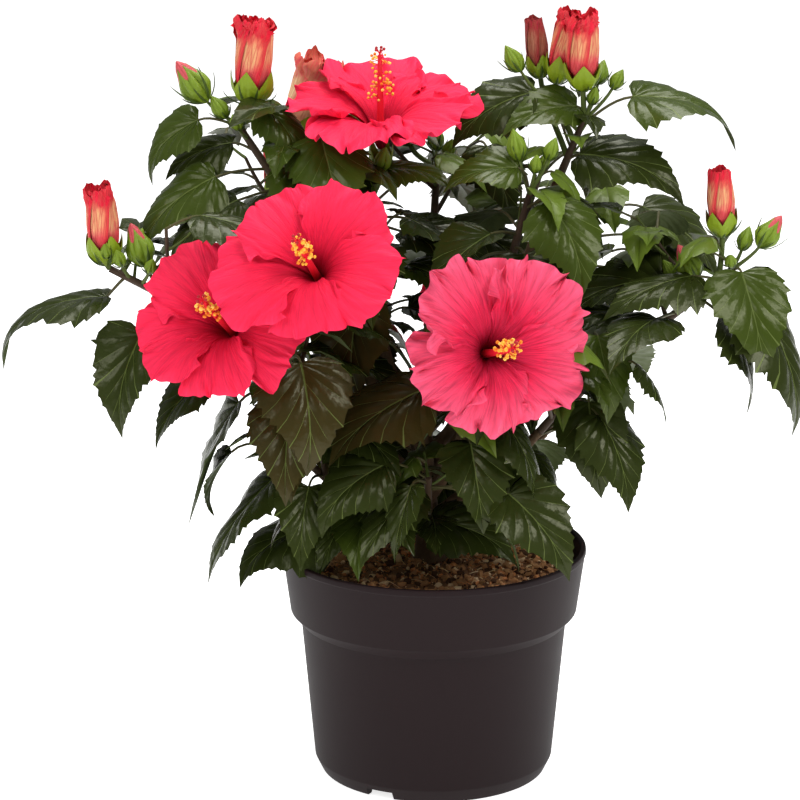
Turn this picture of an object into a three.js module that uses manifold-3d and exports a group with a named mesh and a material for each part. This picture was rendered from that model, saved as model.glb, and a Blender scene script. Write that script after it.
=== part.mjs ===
// Potted hibiscus shrub: a short trunk in a round nursery pot, boughs that leave it low down,
// a mass of leaves round each bough's end, and open, rolled and budding flowers on their own stalks.
// Millimetres, +Z up, +X to the right and -Y to the front. The origin is the middle of the pot's underside.

import * as THREE from 'three';
import { mergeVertices } from 'three/addons/utils/BufferGeometryUtils.js';
import Module from 'manifold-3d';

const wasm = await Module();
wasm.setup();

// Pot
const POT_HEIGHT = 145;
const RIM_RADIUS = 95;
const RIM_WIDTH = 3.5;
const RIM_EDGE_WIDTH = 0.5;
const RIM_EDGE_HEIGHT = 3;
const BAND_FOOT_RADIUS = 90;
const BAND_FOOT = 106;
const BODY_TOP_RADIUS = 83;
const BODY_TOP = 98;
const BASE_RADIUS = 74;
const BASE_EDGE_WIDTH = 4;
const BASE_EDGE_HEIGHT = 9;
const POT_WALL = 2;
const FOOT_WIDTH = 8;
const FOOT_HEIGHT = 6;
const FOOT_SLOPE = 3;
const POT_SIDES = 30;
const NOTCH_WIDTH = 18;
const NOTCH_HEIGHT = 5.5;
const NOTCH_AZIMUTH = -118;
const NOTCH_COUNT = 3;
const HOLE_RADIUS = 5;
const HOLE_RING = 44;
const HOLE_COUNT = 4;
const HOLE_SIDES = 6;
const HUB_RADIUS = 26;

// Soil. A ring of its top is written [radius, height over the level].
const SOIL_LEVEL = 129;
const SOIL_EDGE = 3;
const SOIL_RINGS = [[72, 0], [52, 0], [34, 2]];
const SOIL_MOUND = 4;
const MOUND_RADIUS = 16;
const SOIL_CLODS = 1.6;
const SOIL_SIDES = 16;

// Gap between neighbouring pieces, and the largest scrap of a cut that is dropped, in cubic mm
const GAP = 0.3;
const SCRAP = 20;

// Trunk
const TRUNK_FOOT = [-3, 6, SOIL_LEVEL + SOIL_MOUND + GAP];
const TRUNK_TOP = [-7, 8, 226];
const TRUNK_RADIUS = 8;
const TRUNK_TOP_RADIUS = 5.2;
const FLARE_RADIUS = 12.5;
const FLARE_HEIGHT = 14;

// Limbs. A limb's sides and steps are written together.
const TRUNK_SECTIONS = [9, 7];
const BOUGH_SECTIONS = [5, 4];
const STEM_SECTIONS = [5, 1];
const STALK_SECTIONS = [4, 3];
const TWIG_SECTIONS = [3, 2];
const BUD_STALK_SECTIONS = [3, 1];
const BOUGH_RADIUS = 4.1;
const BOUGH_TIP_RADIUS = 2.8;
const STEM_TIP_RADIUS = 2.1;
const TWIG_RADIUS = 1.6;
const TWIG_TIP_RADIUS = 1.1;
const STALK_RADIUS = 1.9;
const STALK_TIP_RADIUS = 1.7;
const BUD_STALK_TIP_RADIUS = 0.9;
const PETIOLE_RADIUS = 1;
const BOUGH_RISE = 42;

// Leaves
const LEAF_ROWS = [0.26, 0.62];
const LEAF_EDGES = [0.1, 0.56];
const LEAF_HALF_WIDTHS = [0.37, 0.28];
const LEAF_THICKNESS = 0.016;
const LEAF_BEND = 34;
const LEAF_FOLD = 14;
const BLADE_LENGTHS = [48, 72];
const BLADE_PITCHES = [-52, -12];
const PETIOLE_LENGTHS = [20, 34];
const PETIOLE_RISES = [0, 34];
const LEAF_SPIRAL = 137.5;
const LEAF_TRIES = [0, 28, -28, 56, -56, 84];
const OUTLINE_TRIES = [0, 8, -8, 16, -16, 24];
const LEAF_CLEARANCE = 0.42;
const TWIG_CLEARANCE = 0.6;
const TWIG_SPREAD = 0.58;
const TWIG_RISE = 20;
const TWIG_LIFT = 0.2;
const TWIG_UPTURN = 0.4;
const TWIG_LENGTHS = [34, 58];
const TWIG_LEAVES = 3;
const CROWN_LOW = [-262, -128, 146];
const CROWN_HIGH = [228, 170, 446];
const SEED = 20261;

// Flowers
const PETALS = 5;
const BLOOM_SIDES = 20;
const BLOOM_DEPTH = 30;
const FUNNEL_DEPTH = 24;
const FUNNEL_RADIUS = 20;
const FUNNEL_WALL = 2.2;
const FUNNEL_BOTTOM = 10;
const THROAT_RADIUS = 6;
const THROAT_HEIGHT = 4;
const PETAL_SHOULDER = 0.7;
const PETAL_ROOT = 0.5;
const PETAL_THICKNESS = 1.4;
const PETAL_RUFFLE = 3.2;
const PETAL_NOTCH = 0.15;
const PETAL_CUP = 4;
const CALYX_LENGTH = 22;
const CALYX_RADIUS = 7;
const CALYX_FOOT = 48;
const CALYX_SINK = 1;
const COLUMN_RADIUS = 2;
const COLUMN_SIDES = 4;
const COLUMN_REACH = 46;
const ANTHER_RADIUS = 6;
const ANTHER_LENGTH = 24;
const ANTHER_SIDES = [6, 4];
const SEPAL_POINT = 0.16;
const MOUTH_FROM = 0.75;
const ROLLED_SINK = 1.5;
const BUD_SIDES = 4;
const BUD_UPTURN = 0.3;
const BUD_SINK = 1;
const BUD_ROOM = 1.1;

// Half outlines, each point written [share of the radius, share of the length].
// A bud's points are both shares of its length.
const CALYX_OUTLINE = [[0, 0], [0.9, 0.3], [1, 1], [0, 0.95]];
const ROLLED_OUTLINE = [[0, 0], [0.9, 0.4], [0.74, 0.4], [0.76, 0.7], [1, 0.95], [0, 0.84]];
const BUD_OUTLINE = [[0, 0], [0.26, 0.3], [0.18, 0.7], [0, 1]];

// A bough leaves the trunk at the height foot and ends at tip, where its mass of foliage begins.
// The mass's stem runs on from there to end. A leaf of the photographed outline is written
// [place along the stem, azimuth, petiole, petiole's rise, blade, blade's pitch], in mm and degrees,
// and count is how many the seeded rule adds on the stem, twigs how many side twigs it grows.
// A bud is written [place along the stem, azimuth, rise, stalk, bud's length].
const MASSES = [
  { name: 'left', foot: 181, tip: [-148, -33, 304], end: [-196, -30, 328], twigs: 2, count: 5,
    outline: [[0.8, -174, 16, -20, 74, -34], [0.1, -118, 24, -20, 64, -60], [0.45, 150, 20, 20, 58, -12]],
    buds: [[0.55, 178, 62, 20, 29], [0.85, 150, 48, 17, 14], [0.85, -150, 35, 13, 12],
      [0.9, 100, 60, 12, 11]] },
  { name: 'upper_left', foot: 203, tip: [-92, 4, 368], end: [-119, 9, 408], twigs: 1, count: 4,
    outline: [[0.2, -146, 34, 10, 72, -30], [0.8, -142, 26, 16, 58, -42], [0.6, 172, 24, 16, 60, -24],
      [0.35, -52, 22, 10, 58, -48]],
    buds: [[0.85, 172, 34, 22, 30], [0.8, 150, 40, 14, 14], [0.8, -120, 40, 13, 13],
      [0.75, 120, 45, 14, 12]] },
  { name: 'top', foot: 224, tip: [-37, 10, 330], end: [-38, 9, 364], twigs: 1, count: 4,
    outline: [[0.7, -150, 26, -4, 62, -34], [0.6, -28, 26, 4, 62, -34], [0.75, 10, 26, 16, 56, -14],
      [0.25, -95, 22, 0, 58, -50]],
    buds: [] },
  { name: 'upper_right', foot: 215, tip: [76, 16, 374], end: [91, 14, 411], twigs: 1, count: 3,
    outline: [[0.8, -18, 32, 26, 58, -20], [0.1, -20, 22, 12, 74, -20], [0.8, -125, 24, 30, 58, -14],
      [0.5, 176, 28, 20, 60, -6]],
    buds: [[0.85, 20, 55, 26, 13], [0.85, -40, 62, 16, 14], [0.8, 150, 40, 30, 18]] },
  { name: 'centre_right', foot: 199, tip: [46, -19, 330], end: [57, -21, 372], twigs: 1, count: 3,
    outline: [[0.9, -166, 20, 24, 58, -28], [0.8, -56, 24, 0, 76, -60], [0.4, -150, 22, 8, 60, -34],
      [0.2, -75, 20, 0, 62, -58]],
    buds: [[1, 170, 68, 16, 22], [1, 10, 58, 22, 15], [1, -60, 70, 12, 12]] },
  { name: 'right', foot: 180, tip: [128, -22, 284], end: [180, -21, 325], twigs: 2, count: 4,
    outline: [[0.95, -72, 18, 5, 76, -58], [0.5, -8, 24, -28, 70, -50], [0.3, -62, 20, -10, 60, -66],
      [0.15, 176, 18, 22, 66, -6], [0.65, 150, 24, 20, 60, -34]],
    buds: [[0.9, -40, 30, 20, 26], [0.55, 172, 60, 16, 23], [0.4, 150, 50, 14, 12], [1, 90, 50, 12, 13],
      [1, -100, 45, 12, 12]] },
  { name: 'front_left', foot: 165, tip: [-78, -34, 248], end: [-92, -44, 272], twigs: 1, count: 3,
    outline: [[0.9, -72, 36, 18, 72, -64], [0.3, -122, 30, 0, 66, -60], [0.5, -160, 40, 0, 62, -52],
      [0.1, -98, 26, -8, 58, -58]],
    buds: [] },
  { name: 'front_right', foot: 170, tip: [16, -36, 226], end: [19, -48, 252], twigs: 1, count: 3,
    outline: [[0.8, -152, 34, 22, 72, -34], [0.35, -42, 34, 10, 58, -58], [0.15, -80, 28, -4, 58, -60]],
    buds: [] },
  { name: 'low_right', foot: 158, tip: [64, -30, 226], end: [92, -38, 262], twigs: 2, count: 3,
    outline: [[0.7, -112, 20, 0, 68, -68], [0.6, -28, 30, 0, 68, -60], [1, -62, 24, 40, 62, -66],
      [0.9, -14, 34, 14, 56, -50]],
    buds: [] },
  { name: 'low_left', foot: 149, tip: [-58, -28, 188], end: [-92, -38, 222], twigs: 2, count: 3,
    outline: [[0.95, -162, 34, 14, 76, -62], [0.45, -152, 34, -8, 66, -46], [0.1, -148, 34, -4, 58, -28],
      [0.3, -104, 32, 4, 54, -58]],
    buds: [] },
  { name: 'low_front', foot: 144, tip: [-4, -34, 178], end: [-4, -60, 206], twigs: 1, count: 2,
    outline: [[0.95, -156, 30, 10, 68, -38], [0.8, -92, 24, 6, 54, -66], [0.7, -38, 24, -4, 60, -46],
      [0.1, -20, 30, -22, 66, -14], [0.6, -22, 56, 10, 60, -52]],
    buds: [] },
  { name: 'low_back_left', foot: 156, tip: [-68, 44, 206], end: [-104, 62, 240], twigs: 2, count: 5,
    outline: [], buds: [] },
  { name: 'low_back_right', foot: 152, tip: [70, 46, 204], end: [106, 62, 240], twigs: 2, count: 5,
    outline: [], buds: [] },
  { name: 'low_back', foot: 146, tip: [-6, 64, 194], end: [-6, 98, 228], twigs: 2, count: 5,
    outline: [], buds: [] },
  { name: 'back_left', foot: 194, tip: [-72, 68, 300], end: [-96, 92, 338], twigs: 2, count: 4,
    outline: [[0.85, 176, 30, 10, 70, -30]], buds: [[0.85, 120, 50, 18, 16], [0.85, 30, 60, 14, 14]] },
  { name: 'back_right', foot: 186, tip: [78, 72, 300], end: [108, 94, 342], twigs: 2, count: 5,
    outline: [[0.9, 12, 30, 10, 70, -30]], buds: [[1, 60, 50, 18, 16], [1, 160, 60, 14, 14]] },
  { name: 'back_top', foot: 217, tip: [0, 66, 330], end: [2, 88, 366], twigs: 2, count: 5,
    outline: [], buds: [[0.9, 90, 50, 18, 18], [0.9, -30, 60, 14, 14]] },
];

// Open flowers: the middle of the face, the way it looks, its radius, the mass whose stem carries it
// and the place on that stem.
const BLOOMS = [
  { name: 'front_right', face: [34, -114, 304], azimuth: -74, rise: 17, radius: 58,
    mass: 'front_right', at: 1 },
  { name: 'front_upper', face: [-74, -118, 350], azimuth: -104, rise: 36, radius: 56,
    mass: 'front_left', at: 1 },
  { name: 'front_left', face: [-127, -88, 311], azimuth: -108, rise: 32, radius: 54,
    mass: 'front_left', at: 0.7 },
  { name: 'top', face: [-33, 0, 424], azimuth: -92, rise: 77, radius: 64,
    mass: 'top', at: 1 },
  { name: 'back', face: [46, 148, 262], azimuth: 80, rise: 24, radius: 54,
    mass: 'low_back', at: 1 },
];

// Rolled flowers, closed or opening: the calyx's foot, the top, the radius and the mass that carries it.
const ROLLED = [
  { name: 'upper_left', foot: [-114, 11, 424], top: [-110, 10, 477], radius: 14,
    mass: 'upper_left', at: 1 },
  { name: 'left', foot: [-201, -30, 336], top: [-204, -31, 384], radius: 12,
    mass: 'left', at: 1 },
  { name: 'upper_right', foot: [91, 10, 428], top: [87, -2, 482], radius: 13,
    mass: 'upper_right', at: 1 },
  { name: 'upper_right_small', foot: [80, 24, 430], top: [71, 22, 466], radius: 9,
    mass: 'upper_right', at: 0.6 },
  { name: 'upper_right_brown', foot: [61, 33, 436], top: [58, 33, 471], radius: 8,
    mass: 'upper_right', at: 0.35 },
  { name: 'right', foot: [174, -19, 345], top: [171, -21, 389], radius: 10,
    mass: 'right', at: 0.85 },
  { name: 'behind_top', foot: [-80, 68, 388], top: [-72, 70, 446], radius: 16,
    mass: 'back_left', at: 0.6 },
  { name: 'back_left', foot: [-104, 112, 356], top: [-112, 126, 396], radius: 10,
    mass: 'back_left', at: 1 },
  { name: 'back_top', foot: [-14, 100, 378], top: [-20, 110, 424], radius: 11,
    mass: 'back_top', at: 1 },
];

const MATERIALS = {
  pot: { color: 0x332b2c, roughness: 0.55 },
  soil: { color: 0x4a3325, roughness: 1 },
  bark: { color: 0x4b3a2a, roughness: 0.85 },
  leaf: { color: 0x33421c, roughness: 0.35 },
  petal: { color: 0xf02c46, roughness: 0.6 },
  rolled: { color: 0xe07a58, roughness: 0.65 },
};

const radians = THREE.MathUtils.degToRad;
const vector = (xyz) => new THREE.Vector3(...xyz);
const UP = new THREE.Vector3(0, 0, 1);

function heading(azimuth, rise) {
  const a = radians(azimuth);
  const r = radians(rise);
  return new THREE.Vector3(Math.cos(a) * Math.cos(r), Math.sin(a) * Math.cos(r), Math.sin(r));
}

// The same number from 0 to 1 for the same keys, so that the crown is alike on every build.
function seeded(...keys) {
  let hash = SEED;
  for (const key of keys) {
    hash = Math.imul(hash ^ key, 0x9e3779b1) >>> 0;
    hash = (hash ^ (hash >>> 15)) >>> 0;
  }
  hash = Math.imul(hash, 0x85ebca6b) >>> 0;
  hash = (hash ^ (hash >>> 13)) >>> 0;
  return hash / 2 ** 32;
}

function between(low, high, ...keys) {
  return low + (high - low) * seeded(...keys);
}

// A closed geometry as a solid: shared corners are merged, and faces that were pinched to a line go.
function solidOf(geometry) {
  geometry.deleteAttribute('normal');
  geometry.deleteAttribute('uv');
  const merged = mergeVertices(geometry, 1e-4);
  const corners = merged.index.array;
  const triangles = [];
  for (let i = 0; i < corners.length; i += 3) {
    const [a, b, c] = corners.slice(i, i + 3);
    if (a !== b && b !== c && c !== a) triangles.push(a, b, c);
  }
  const solid = new wasm.Manifold(new wasm.Mesh({
    numProp: 3,
    vertProperties: new Float32Array(merged.attributes.position.array),
    triVerts: new Uint32Array(triangles),
  }));
  if (solid.volume() <= 0) throw new Error('a solid is inside out or empty');
  return solid;
}

// Moves every corner of a geometry to where the function puts it.
function reshape(geometry, move) {
  const places = geometry.attributes.position;
  const corner = new THREE.Vector3();
  for (let i = 0; i < places.count; i += 1) {
    corner.fromBufferAttribute(places, i);
    const moved = move(corner.clone());
    places.setXYZ(i, moved.x, moved.y, moved.z);
  }
  return geometry;
}

// Cuts squares of a geometry along their other diagonal. The two sheets of a thin folded piece
// then have their diagonals on each other, and never cross.
function turnDiagonals(geometry, squares) {
  const corners = geometry.index.array;
  for (const square of squares) {
    const [a, b, d, ...others] = corners.slice(6 * square, 6 * square + 6);
    const c = others.find((corner) => corner !== b && corner !== d);
    corners.set([a, b, c, a, c, d], 6 * square);
  }
  return geometry;
}

// A round limb along a curve, its radius given along its length. grow widens it and its ends, for cutting.
function limb(curve, radiusAt, sides, steps, grow = 0) {
  const frames = curve.computeFrenetFrames(steps);
  return solidOf(reshape(new THREE.CylinderGeometry(1, 1, 1, sides, steps), (corner) => {
    const step = Math.round((corner.y + 0.5) * steps);
    const along = step / steps;
    const radius = radiusAt(along) + grow;
    let over = 0;
    if (step === 0) over = -grow;
    if (step === steps) over = grow;
    return curve.getPointAt(along)
      .addScaledVector(frames.tangents[step], over)
      .addScaledVector(frames.binormals[step], corner.x * radius)
      .addScaledVector(frames.normals[step], corner.z * radius);
  }));
}

function taper(from, to) {
  return (along) => from + (to - from) * along;
}

function bentLine(start, startWay, end, endWay) {
  const third = start.distanceTo(end) / 3;
  return new THREE.CubicBezierCurve3(start, start.clone().addScaledVector(startWay, third),
    end.clone().addScaledVector(endWay, -third), end);
}

// Turns a shape that was made round +Y, with its foot at 0, to stand at a place along a way.
function standAlong(geometry, place, way) {
  const turn = new THREE.Quaternion().setFromUnitVectors(new THREE.Vector3(0, 1, 0), way);
  return reshape(geometry, (corner) => corner.applyQuaternion(turn).add(place));
}

function lathe(profile, sides) {
  return new THREE.LatheGeometry(profile.map(([radius, height]) => new THREE.Vector2(radius, height)), sides);
}

function scaled(outline, radius, length) {
  return outline.map(([across, along]) => [across * radius, along * length]);
}

// Pot: an outer and an inner wall turned in one, a rolled rim band, a foot ring with notches
// for the water, a hub under the middle that the pot also stands on, and drain holes.
function makePot() {
  const baseEdge = BASE_RADIUS + ((BODY_TOP_RADIUS - BASE_RADIUS) * BASE_EDGE_HEIGHT) / BODY_TOP;
  const floorTop = FOOT_HEIGHT + POT_WALL;
  const profile = [
    [0, 0], [HUB_RADIUS, 0], [HUB_RADIUS + FOOT_SLOPE, FOOT_HEIGHT],
    [BASE_RADIUS - FOOT_WIDTH - FOOT_SLOPE, FOOT_HEIGHT], [BASE_RADIUS - FOOT_WIDTH, 0],
    [BASE_RADIUS - BASE_EDGE_WIDTH, 0], [baseEdge, BASE_EDGE_HEIGHT],
    [BODY_TOP_RADIUS, BODY_TOP], [BAND_FOOT_RADIUS, BAND_FOOT], [RIM_RADIUS, POT_HEIGHT - RIM_EDGE_HEIGHT],
    [RIM_RADIUS - RIM_EDGE_WIDTH, POT_HEIGHT], [RIM_RADIUS - RIM_WIDTH, POT_HEIGHT],
    [BAND_FOOT_RADIUS - POT_WALL, BAND_FOOT], [BODY_TOP_RADIUS - POT_WALL, BODY_TOP],
    [baseEdge - POT_WALL, BASE_EDGE_HEIGHT], [BASE_RADIUS - FOOT_WIDTH, floorTop], [0, floorTop],
  ];
  const upright = new THREE.Matrix4().makeRotationX(Math.PI / 2);
  let pot = solidOf(lathe(profile, POT_SIDES).applyMatrix4(upright));
  for (let i = 0; i < NOTCH_COUNT; i += 1) {
    const turn = radians(NOTCH_AZIMUTH + (360 / NOTCH_COUNT) * i);
    const notch = new THREE.BoxGeometry(FOOT_WIDTH * 3, NOTCH_WIDTH, NOTCH_HEIGHT * 2);
    notch.translate(BASE_RADIUS, 0, 0).rotateZ(turn);
    pot = pot.subtract(solidOf(notch));
  }
  for (let i = 0; i < HOLE_COUNT; i += 1) {
    const hole = new THREE.CylinderGeometry(HOLE_RADIUS, HOLE_RADIUS, FOOT_HEIGHT * 4, HOLE_SIDES);
    hole.rotateX(Math.PI / 2).translate(HOLE_RING, 0, 0).rotateZ(radians((360 / HOLE_COUNT) * (i + 0.5)));
    pot = pot.subtract(solidOf(hole));
  }
  return pot;
}

// Soil: fills the pot to the rim band, a little heaped at the trunk, with a cloddy top.
function makeSoil() {
  const inside = (radius) => (radius - POT_WALL) * Math.cos(Math.PI / POT_SIDES) - GAP;
  const floor = FOOT_HEIGHT + POT_WALL + GAP;
  const profile = [[0, floor], [inside(BASE_RADIUS - FOOT_WIDTH), floor],
    [inside(BASE_RADIUS), BASE_EDGE_HEIGHT + GAP], [inside(BODY_TOP_RADIUS), BODY_TOP + GAP],
    [inside(BAND_FOOT_RADIUS), BAND_FOOT + GAP * 2], [inside(BAND_FOOT_RADIUS), SOIL_LEVEL - SOIL_EDGE],
    ...SOIL_RINGS.map(([radius, height]) => [radius, SOIL_LEVEL + height]),
    [MOUND_RADIUS, SOIL_LEVEL + SOIL_MOUND], [0, SOIL_LEVEL + SOIL_MOUND]];
  const upright = new THREE.Matrix4().makeRotationX(Math.PI / 2);
  const body = lathe(profile, SOIL_SIDES).applyMatrix4(upright);
  return solidOf(reshape(body, (corner) => {
    const radius = Math.hypot(corner.x, corner.y);
    if (corner.z >= SOIL_LEVEL && radius > MOUND_RADIUS + 1) {
      corner.z += SOIL_CLODS * (seeded(Math.round(corner.x), Math.round(corner.y)) - 0.5);
    }
    return corner;
  }));
}

// One leaf: a box pinched to a petiole that widens into the blade. The petiole's foot is on the limb's
// axis. The blade is thick along its midrib and thin at its edge, folded a little along the midrib and
// bent down along its length. grow widens the whole leaf, for trying its place.
function makeLeaf(root, azimuth, stalk, rise, length, pitch, grow = 0) {
  const base = root.clone().addScaledVector(heading(azimuth, rise), stalk);
  const bend = radians(LEAF_BEND);
  const start = radians(pitch) + bend / 2;
  const side = new THREE.Vector3(-Math.sin(radians(azimuth)), Math.cos(radians(azimuth)), 0);
  const fold = radians(LEAF_FOLD);
  const way = (angle) => heading(azimuth, THREE.MathUtils.radToDeg(angle));
  const midrib = (along) => {
    const chord = (2 * Math.sin((bend * along) / 2)) / bend;
    return base.clone().addScaledVector(way(start - (bend * along) / 2), length * chord);
  };
  const normal = (along) => way(start - bend * along).cross(side);
  const tipRow = LEAF_ROWS.length + 2;
  const thin = PETIOLE_RADIUS + grow;
  const shape = new THREE.BoxGeometry(1, 1, 1, tipRow, 2, 1);
  const squares = shape.index.count / 6;
  const underside = Array.from({ length: 2 * tipRow }, (_, i) => squares - 1 - i);
  return solidOf(reshape(turnDiagonals(shape, underside), (corner) => {
    const row = Math.round((corner.x + 0.5) * tipRow);
    const across = Math.round(corner.y * 2);
    const upper = corner.z > 0;
    if (row === tipRow) return midrib(1 + grow / length);
    if (row < 2) {
      const across3 = side.clone().multiplyScalar(across * thin);
      const lift = across === 0 ? (upper ? thin : -thin) : 0;
      return (row === 0 ? root.clone() : base.clone()).add(across3).addScaledVector(normal(0), lift);
    }
    const along = row - 2;
    if (across === 0) {
      const lift = upper ? grow : -grow - LEAF_THICKNESS * length;
      return midrib(LEAF_ROWS[along]).addScaledVector(normal(LEAF_ROWS[along]), lift);
    }
    const reach = LEAF_HALF_WIDTHS[along] * length + grow;
    return midrib(LEAF_EDGES[along])
      .addScaledVector(side, across * reach * Math.cos(fold))
      .addScaledVector(normal(LEAF_EDGES[along]), reach * Math.sin(fold));
  }));
}

// Tries a piece's place: true where the piece touches none of the solids.
function isClear(piece, others) {
  const own = piece.boundingBox();
  return others.every((other) => {
    const box = other.box;
    for (let i = 0; i < 3; i += 1) {
      if (own.min[i] > box.max[i] || own.max[i] < box.min[i]) return true;
    }
    return piece.intersect(other.solid).volume() < 1e-7;
  });
}

function obstacle(solid) {
  return { solid, box: solid.boundingBox() };
}

function isInCrown(piece) {
  const { min, max } = piece.boundingBox();
  return [0, 1, 2].every((i) => min[i] > CROWN_LOW[i] && max[i] < CROWN_HIGH[i]);
}

// Calyx: a slim cup of five sepals round a flower's foot, a corner for each.
function makeCalyx(foot, way) {
  return solidOf(standAlong(lathe(scaled(CALYX_OUTLINE, CALYX_RADIUS, CALYX_LENGTH), PETALS), foot, way));
}

// Open flower: calyx, five broad ruffled petals opening from a funnel, and the column with its anthers.
function makeBloom(face, way, radius, index) {
  const base = face.clone().addScaledVector(way, -BLOOM_DEPTH);
  const shoulder = radius * PETAL_SHOULDER;
  const under = BLOOM_DEPTH - PETAL_THICKNESS / 2;
  const profile = [[0, 0], [THROAT_RADIUS, THROAT_HEIGHT], [FUNNEL_RADIUS, FUNNEL_DEPTH], [shoulder, under],
    [radius, under], [shoulder, under + PETAL_THICKNESS], [FUNNEL_RADIUS, FUNNEL_DEPTH + FUNNEL_WALL],
    [0, FUNNEL_BOTTOM]];
  const rim = profile.findIndex(([out]) => out === radius);
  const bands = profile.length - 1;
  const squares = Array.from({ length: BLOOM_SIDES * bands }, (_, i) => i);
  const upper = squares.filter((square) => square % bands >= rim);
  const petals = reshape(turnDiagonals(lathe(profile, BLOOM_SIDES), upper), (corner) => {
    const out = Math.hypot(corner.x, corner.z);
    if (out < radius * PETAL_ROOT) return corner;
    const around = Math.atan2(corner.z, corner.x) + index;
    const share = out / radius;
    const lobe = 1 - PETAL_NOTCH * share * (1 - Math.abs(Math.cos((PETALS * around) / 2)));
    corner.x *= lobe;
    corner.z *= lobe;
    corner.y += PETAL_RUFFLE * share ** 2 * Math.sin(3 * PETALS * around + 2 * index);
    corner.y -= PETAL_CUP * share ** 2 * Math.cos(PETALS * around);
    return corner;
  });
  const head = face.clone().addScaledVector(way, COLUMN_REACH - ANTHER_LENGTH / 2);
  const column = new THREE.LineCurve3(base.clone().addScaledVector(way, THROAT_RADIUS), head);
  const anthers = new THREE.SphereGeometry(1, ...ANTHER_SIDES);
  anthers.scale(ANTHER_RADIUS, ANTHER_LENGTH / 2, ANTHER_RADIUS);
  const calyxFoot = face.clone().addScaledVector(way, -CALYX_FOOT);
  return solidOf(standAlong(petals, base, way))
    .add(limb(column, () => COLUMN_RADIUS, COLUMN_SIDES, 1))
    .add(solidOf(standAlong(anthers, head, way)))
    .add(makeCalyx(calyxFoot, way));
}

// Rolled flower: the calyx, and petals wound round each other into a tube that frills out at its mouth.
function makeRolled(foot, top, radius, index) {
  const way = top.clone().sub(foot).normalize();
  const length = foot.distanceTo(top);
  const [, [, cup], , , [, mouth]] = ROLLED_OUTLINE;
  const tube = reshape(lathe(scaled(ROLLED_OUTLINE, radius, length), PETALS * 2), (corner) => {
    const out = Math.hypot(corner.x, corner.z);
    if (out < 1) return corner;
    const around = Math.atan2(corner.z, corner.x);
    const along = corner.y / length;
    if (out > radius * 0.85 && along < mouth / 2) {
      corner.y += cup * length * SEPAL_POINT * Math.cos(PETALS * around);
    }
    corner.y += Math.max(0, along - MOUTH_FROM) * radius * Math.sin(3 * around + index);
    return corner;
  });
  return solidOf(standAlong(tube, foot, way));
}

function makeBud(foot, way, length) {
  return solidOf(standAlong(lathe(scaled(BUD_OUTLINE, length, length), BUD_SIDES), foot, way));
}

const plant = new THREE.Group();
plant.name = 'plant';
const container = new THREE.Group();
container.name = 'container';

// Adds a solid as a named mesh that is placed by its own foot. Loose scraps of a cut are dropped.
function place(group, name, solid, foot, finish) {
  const [whole, ...scraps] = solid.decompose().sort((a, b) => b.volume() - a.volume());
  if (scraps.some((scrap) => scrap.volume() > SCRAP)) throw new Error(`${name} comes apart`);
  const mesh = whole.getMesh();
  const geometry = new THREE.BufferGeometry();
  geometry.setAttribute('position', new THREE.BufferAttribute(new Float32Array(mesh.vertProperties), 3));
  geometry.setIndex(new THREE.BufferAttribute(new Uint32Array(mesh.triVerts), 1));
  geometry.translate(-foot.x, -foot.y, -foot.z);
  geometry.computeVertexNormals();
  const material = new THREE.MeshStandardMaterial({ ...MATERIALS[finish], metalness: 0 });
  const piece = new THREE.Mesh(geometry, material);
  piece.name = name;
  piece.position.copy(foot);
  group.add(piece);
}

// The pot and its soil
const pot = makePot();
const soil = makeSoil();
place(container, 'pot', pot, new THREE.Vector3(), 'pot');
place(container, 'soil', soil, new THREE.Vector3(0, 0, SOIL_LEVEL), 'soil');
const fixed = [obstacle(pot), obstacle(soil)];

// The trunk, flared at the soil and cut flat there
const trunkLine = new THREE.LineCurve3(vector(TRUNK_FOOT), vector(TRUNK_TOP));
const trunkHeight = TRUNK_TOP[2] - TRUNK_FOOT[2];
const trunkRadius = (along) => {
  const flare = Math.max(0, 1 - (along * trunkHeight) / FLARE_HEIGHT);
  return taper(TRUNK_RADIUS, TRUNK_TOP_RADIUS)(along) + (FLARE_RADIUS - TRUNK_RADIUS) * flare ** 2;
};
const ground = new THREE.BoxGeometry(FLARE_RADIUS * 4, FLARE_RADIUS * 4, FLARE_RADIUS * 2);
ground.translate(TRUNK_FOOT[0], TRUNK_FOOT[1], TRUNK_FOOT[2] - FLARE_RADIUS);
const trunk = limb(trunkLine, trunkRadius, ...TRUNK_SECTIONS).subtract(solidOf(ground));
const trunkCutter = limb(trunkLine, trunkRadius, ...TRUNK_SECTIONS, GAP);
place(plant, 'trunk', trunk, vector(TRUNK_FOOT), 'bark');
fixed.push(obstacle(trunk));

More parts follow.
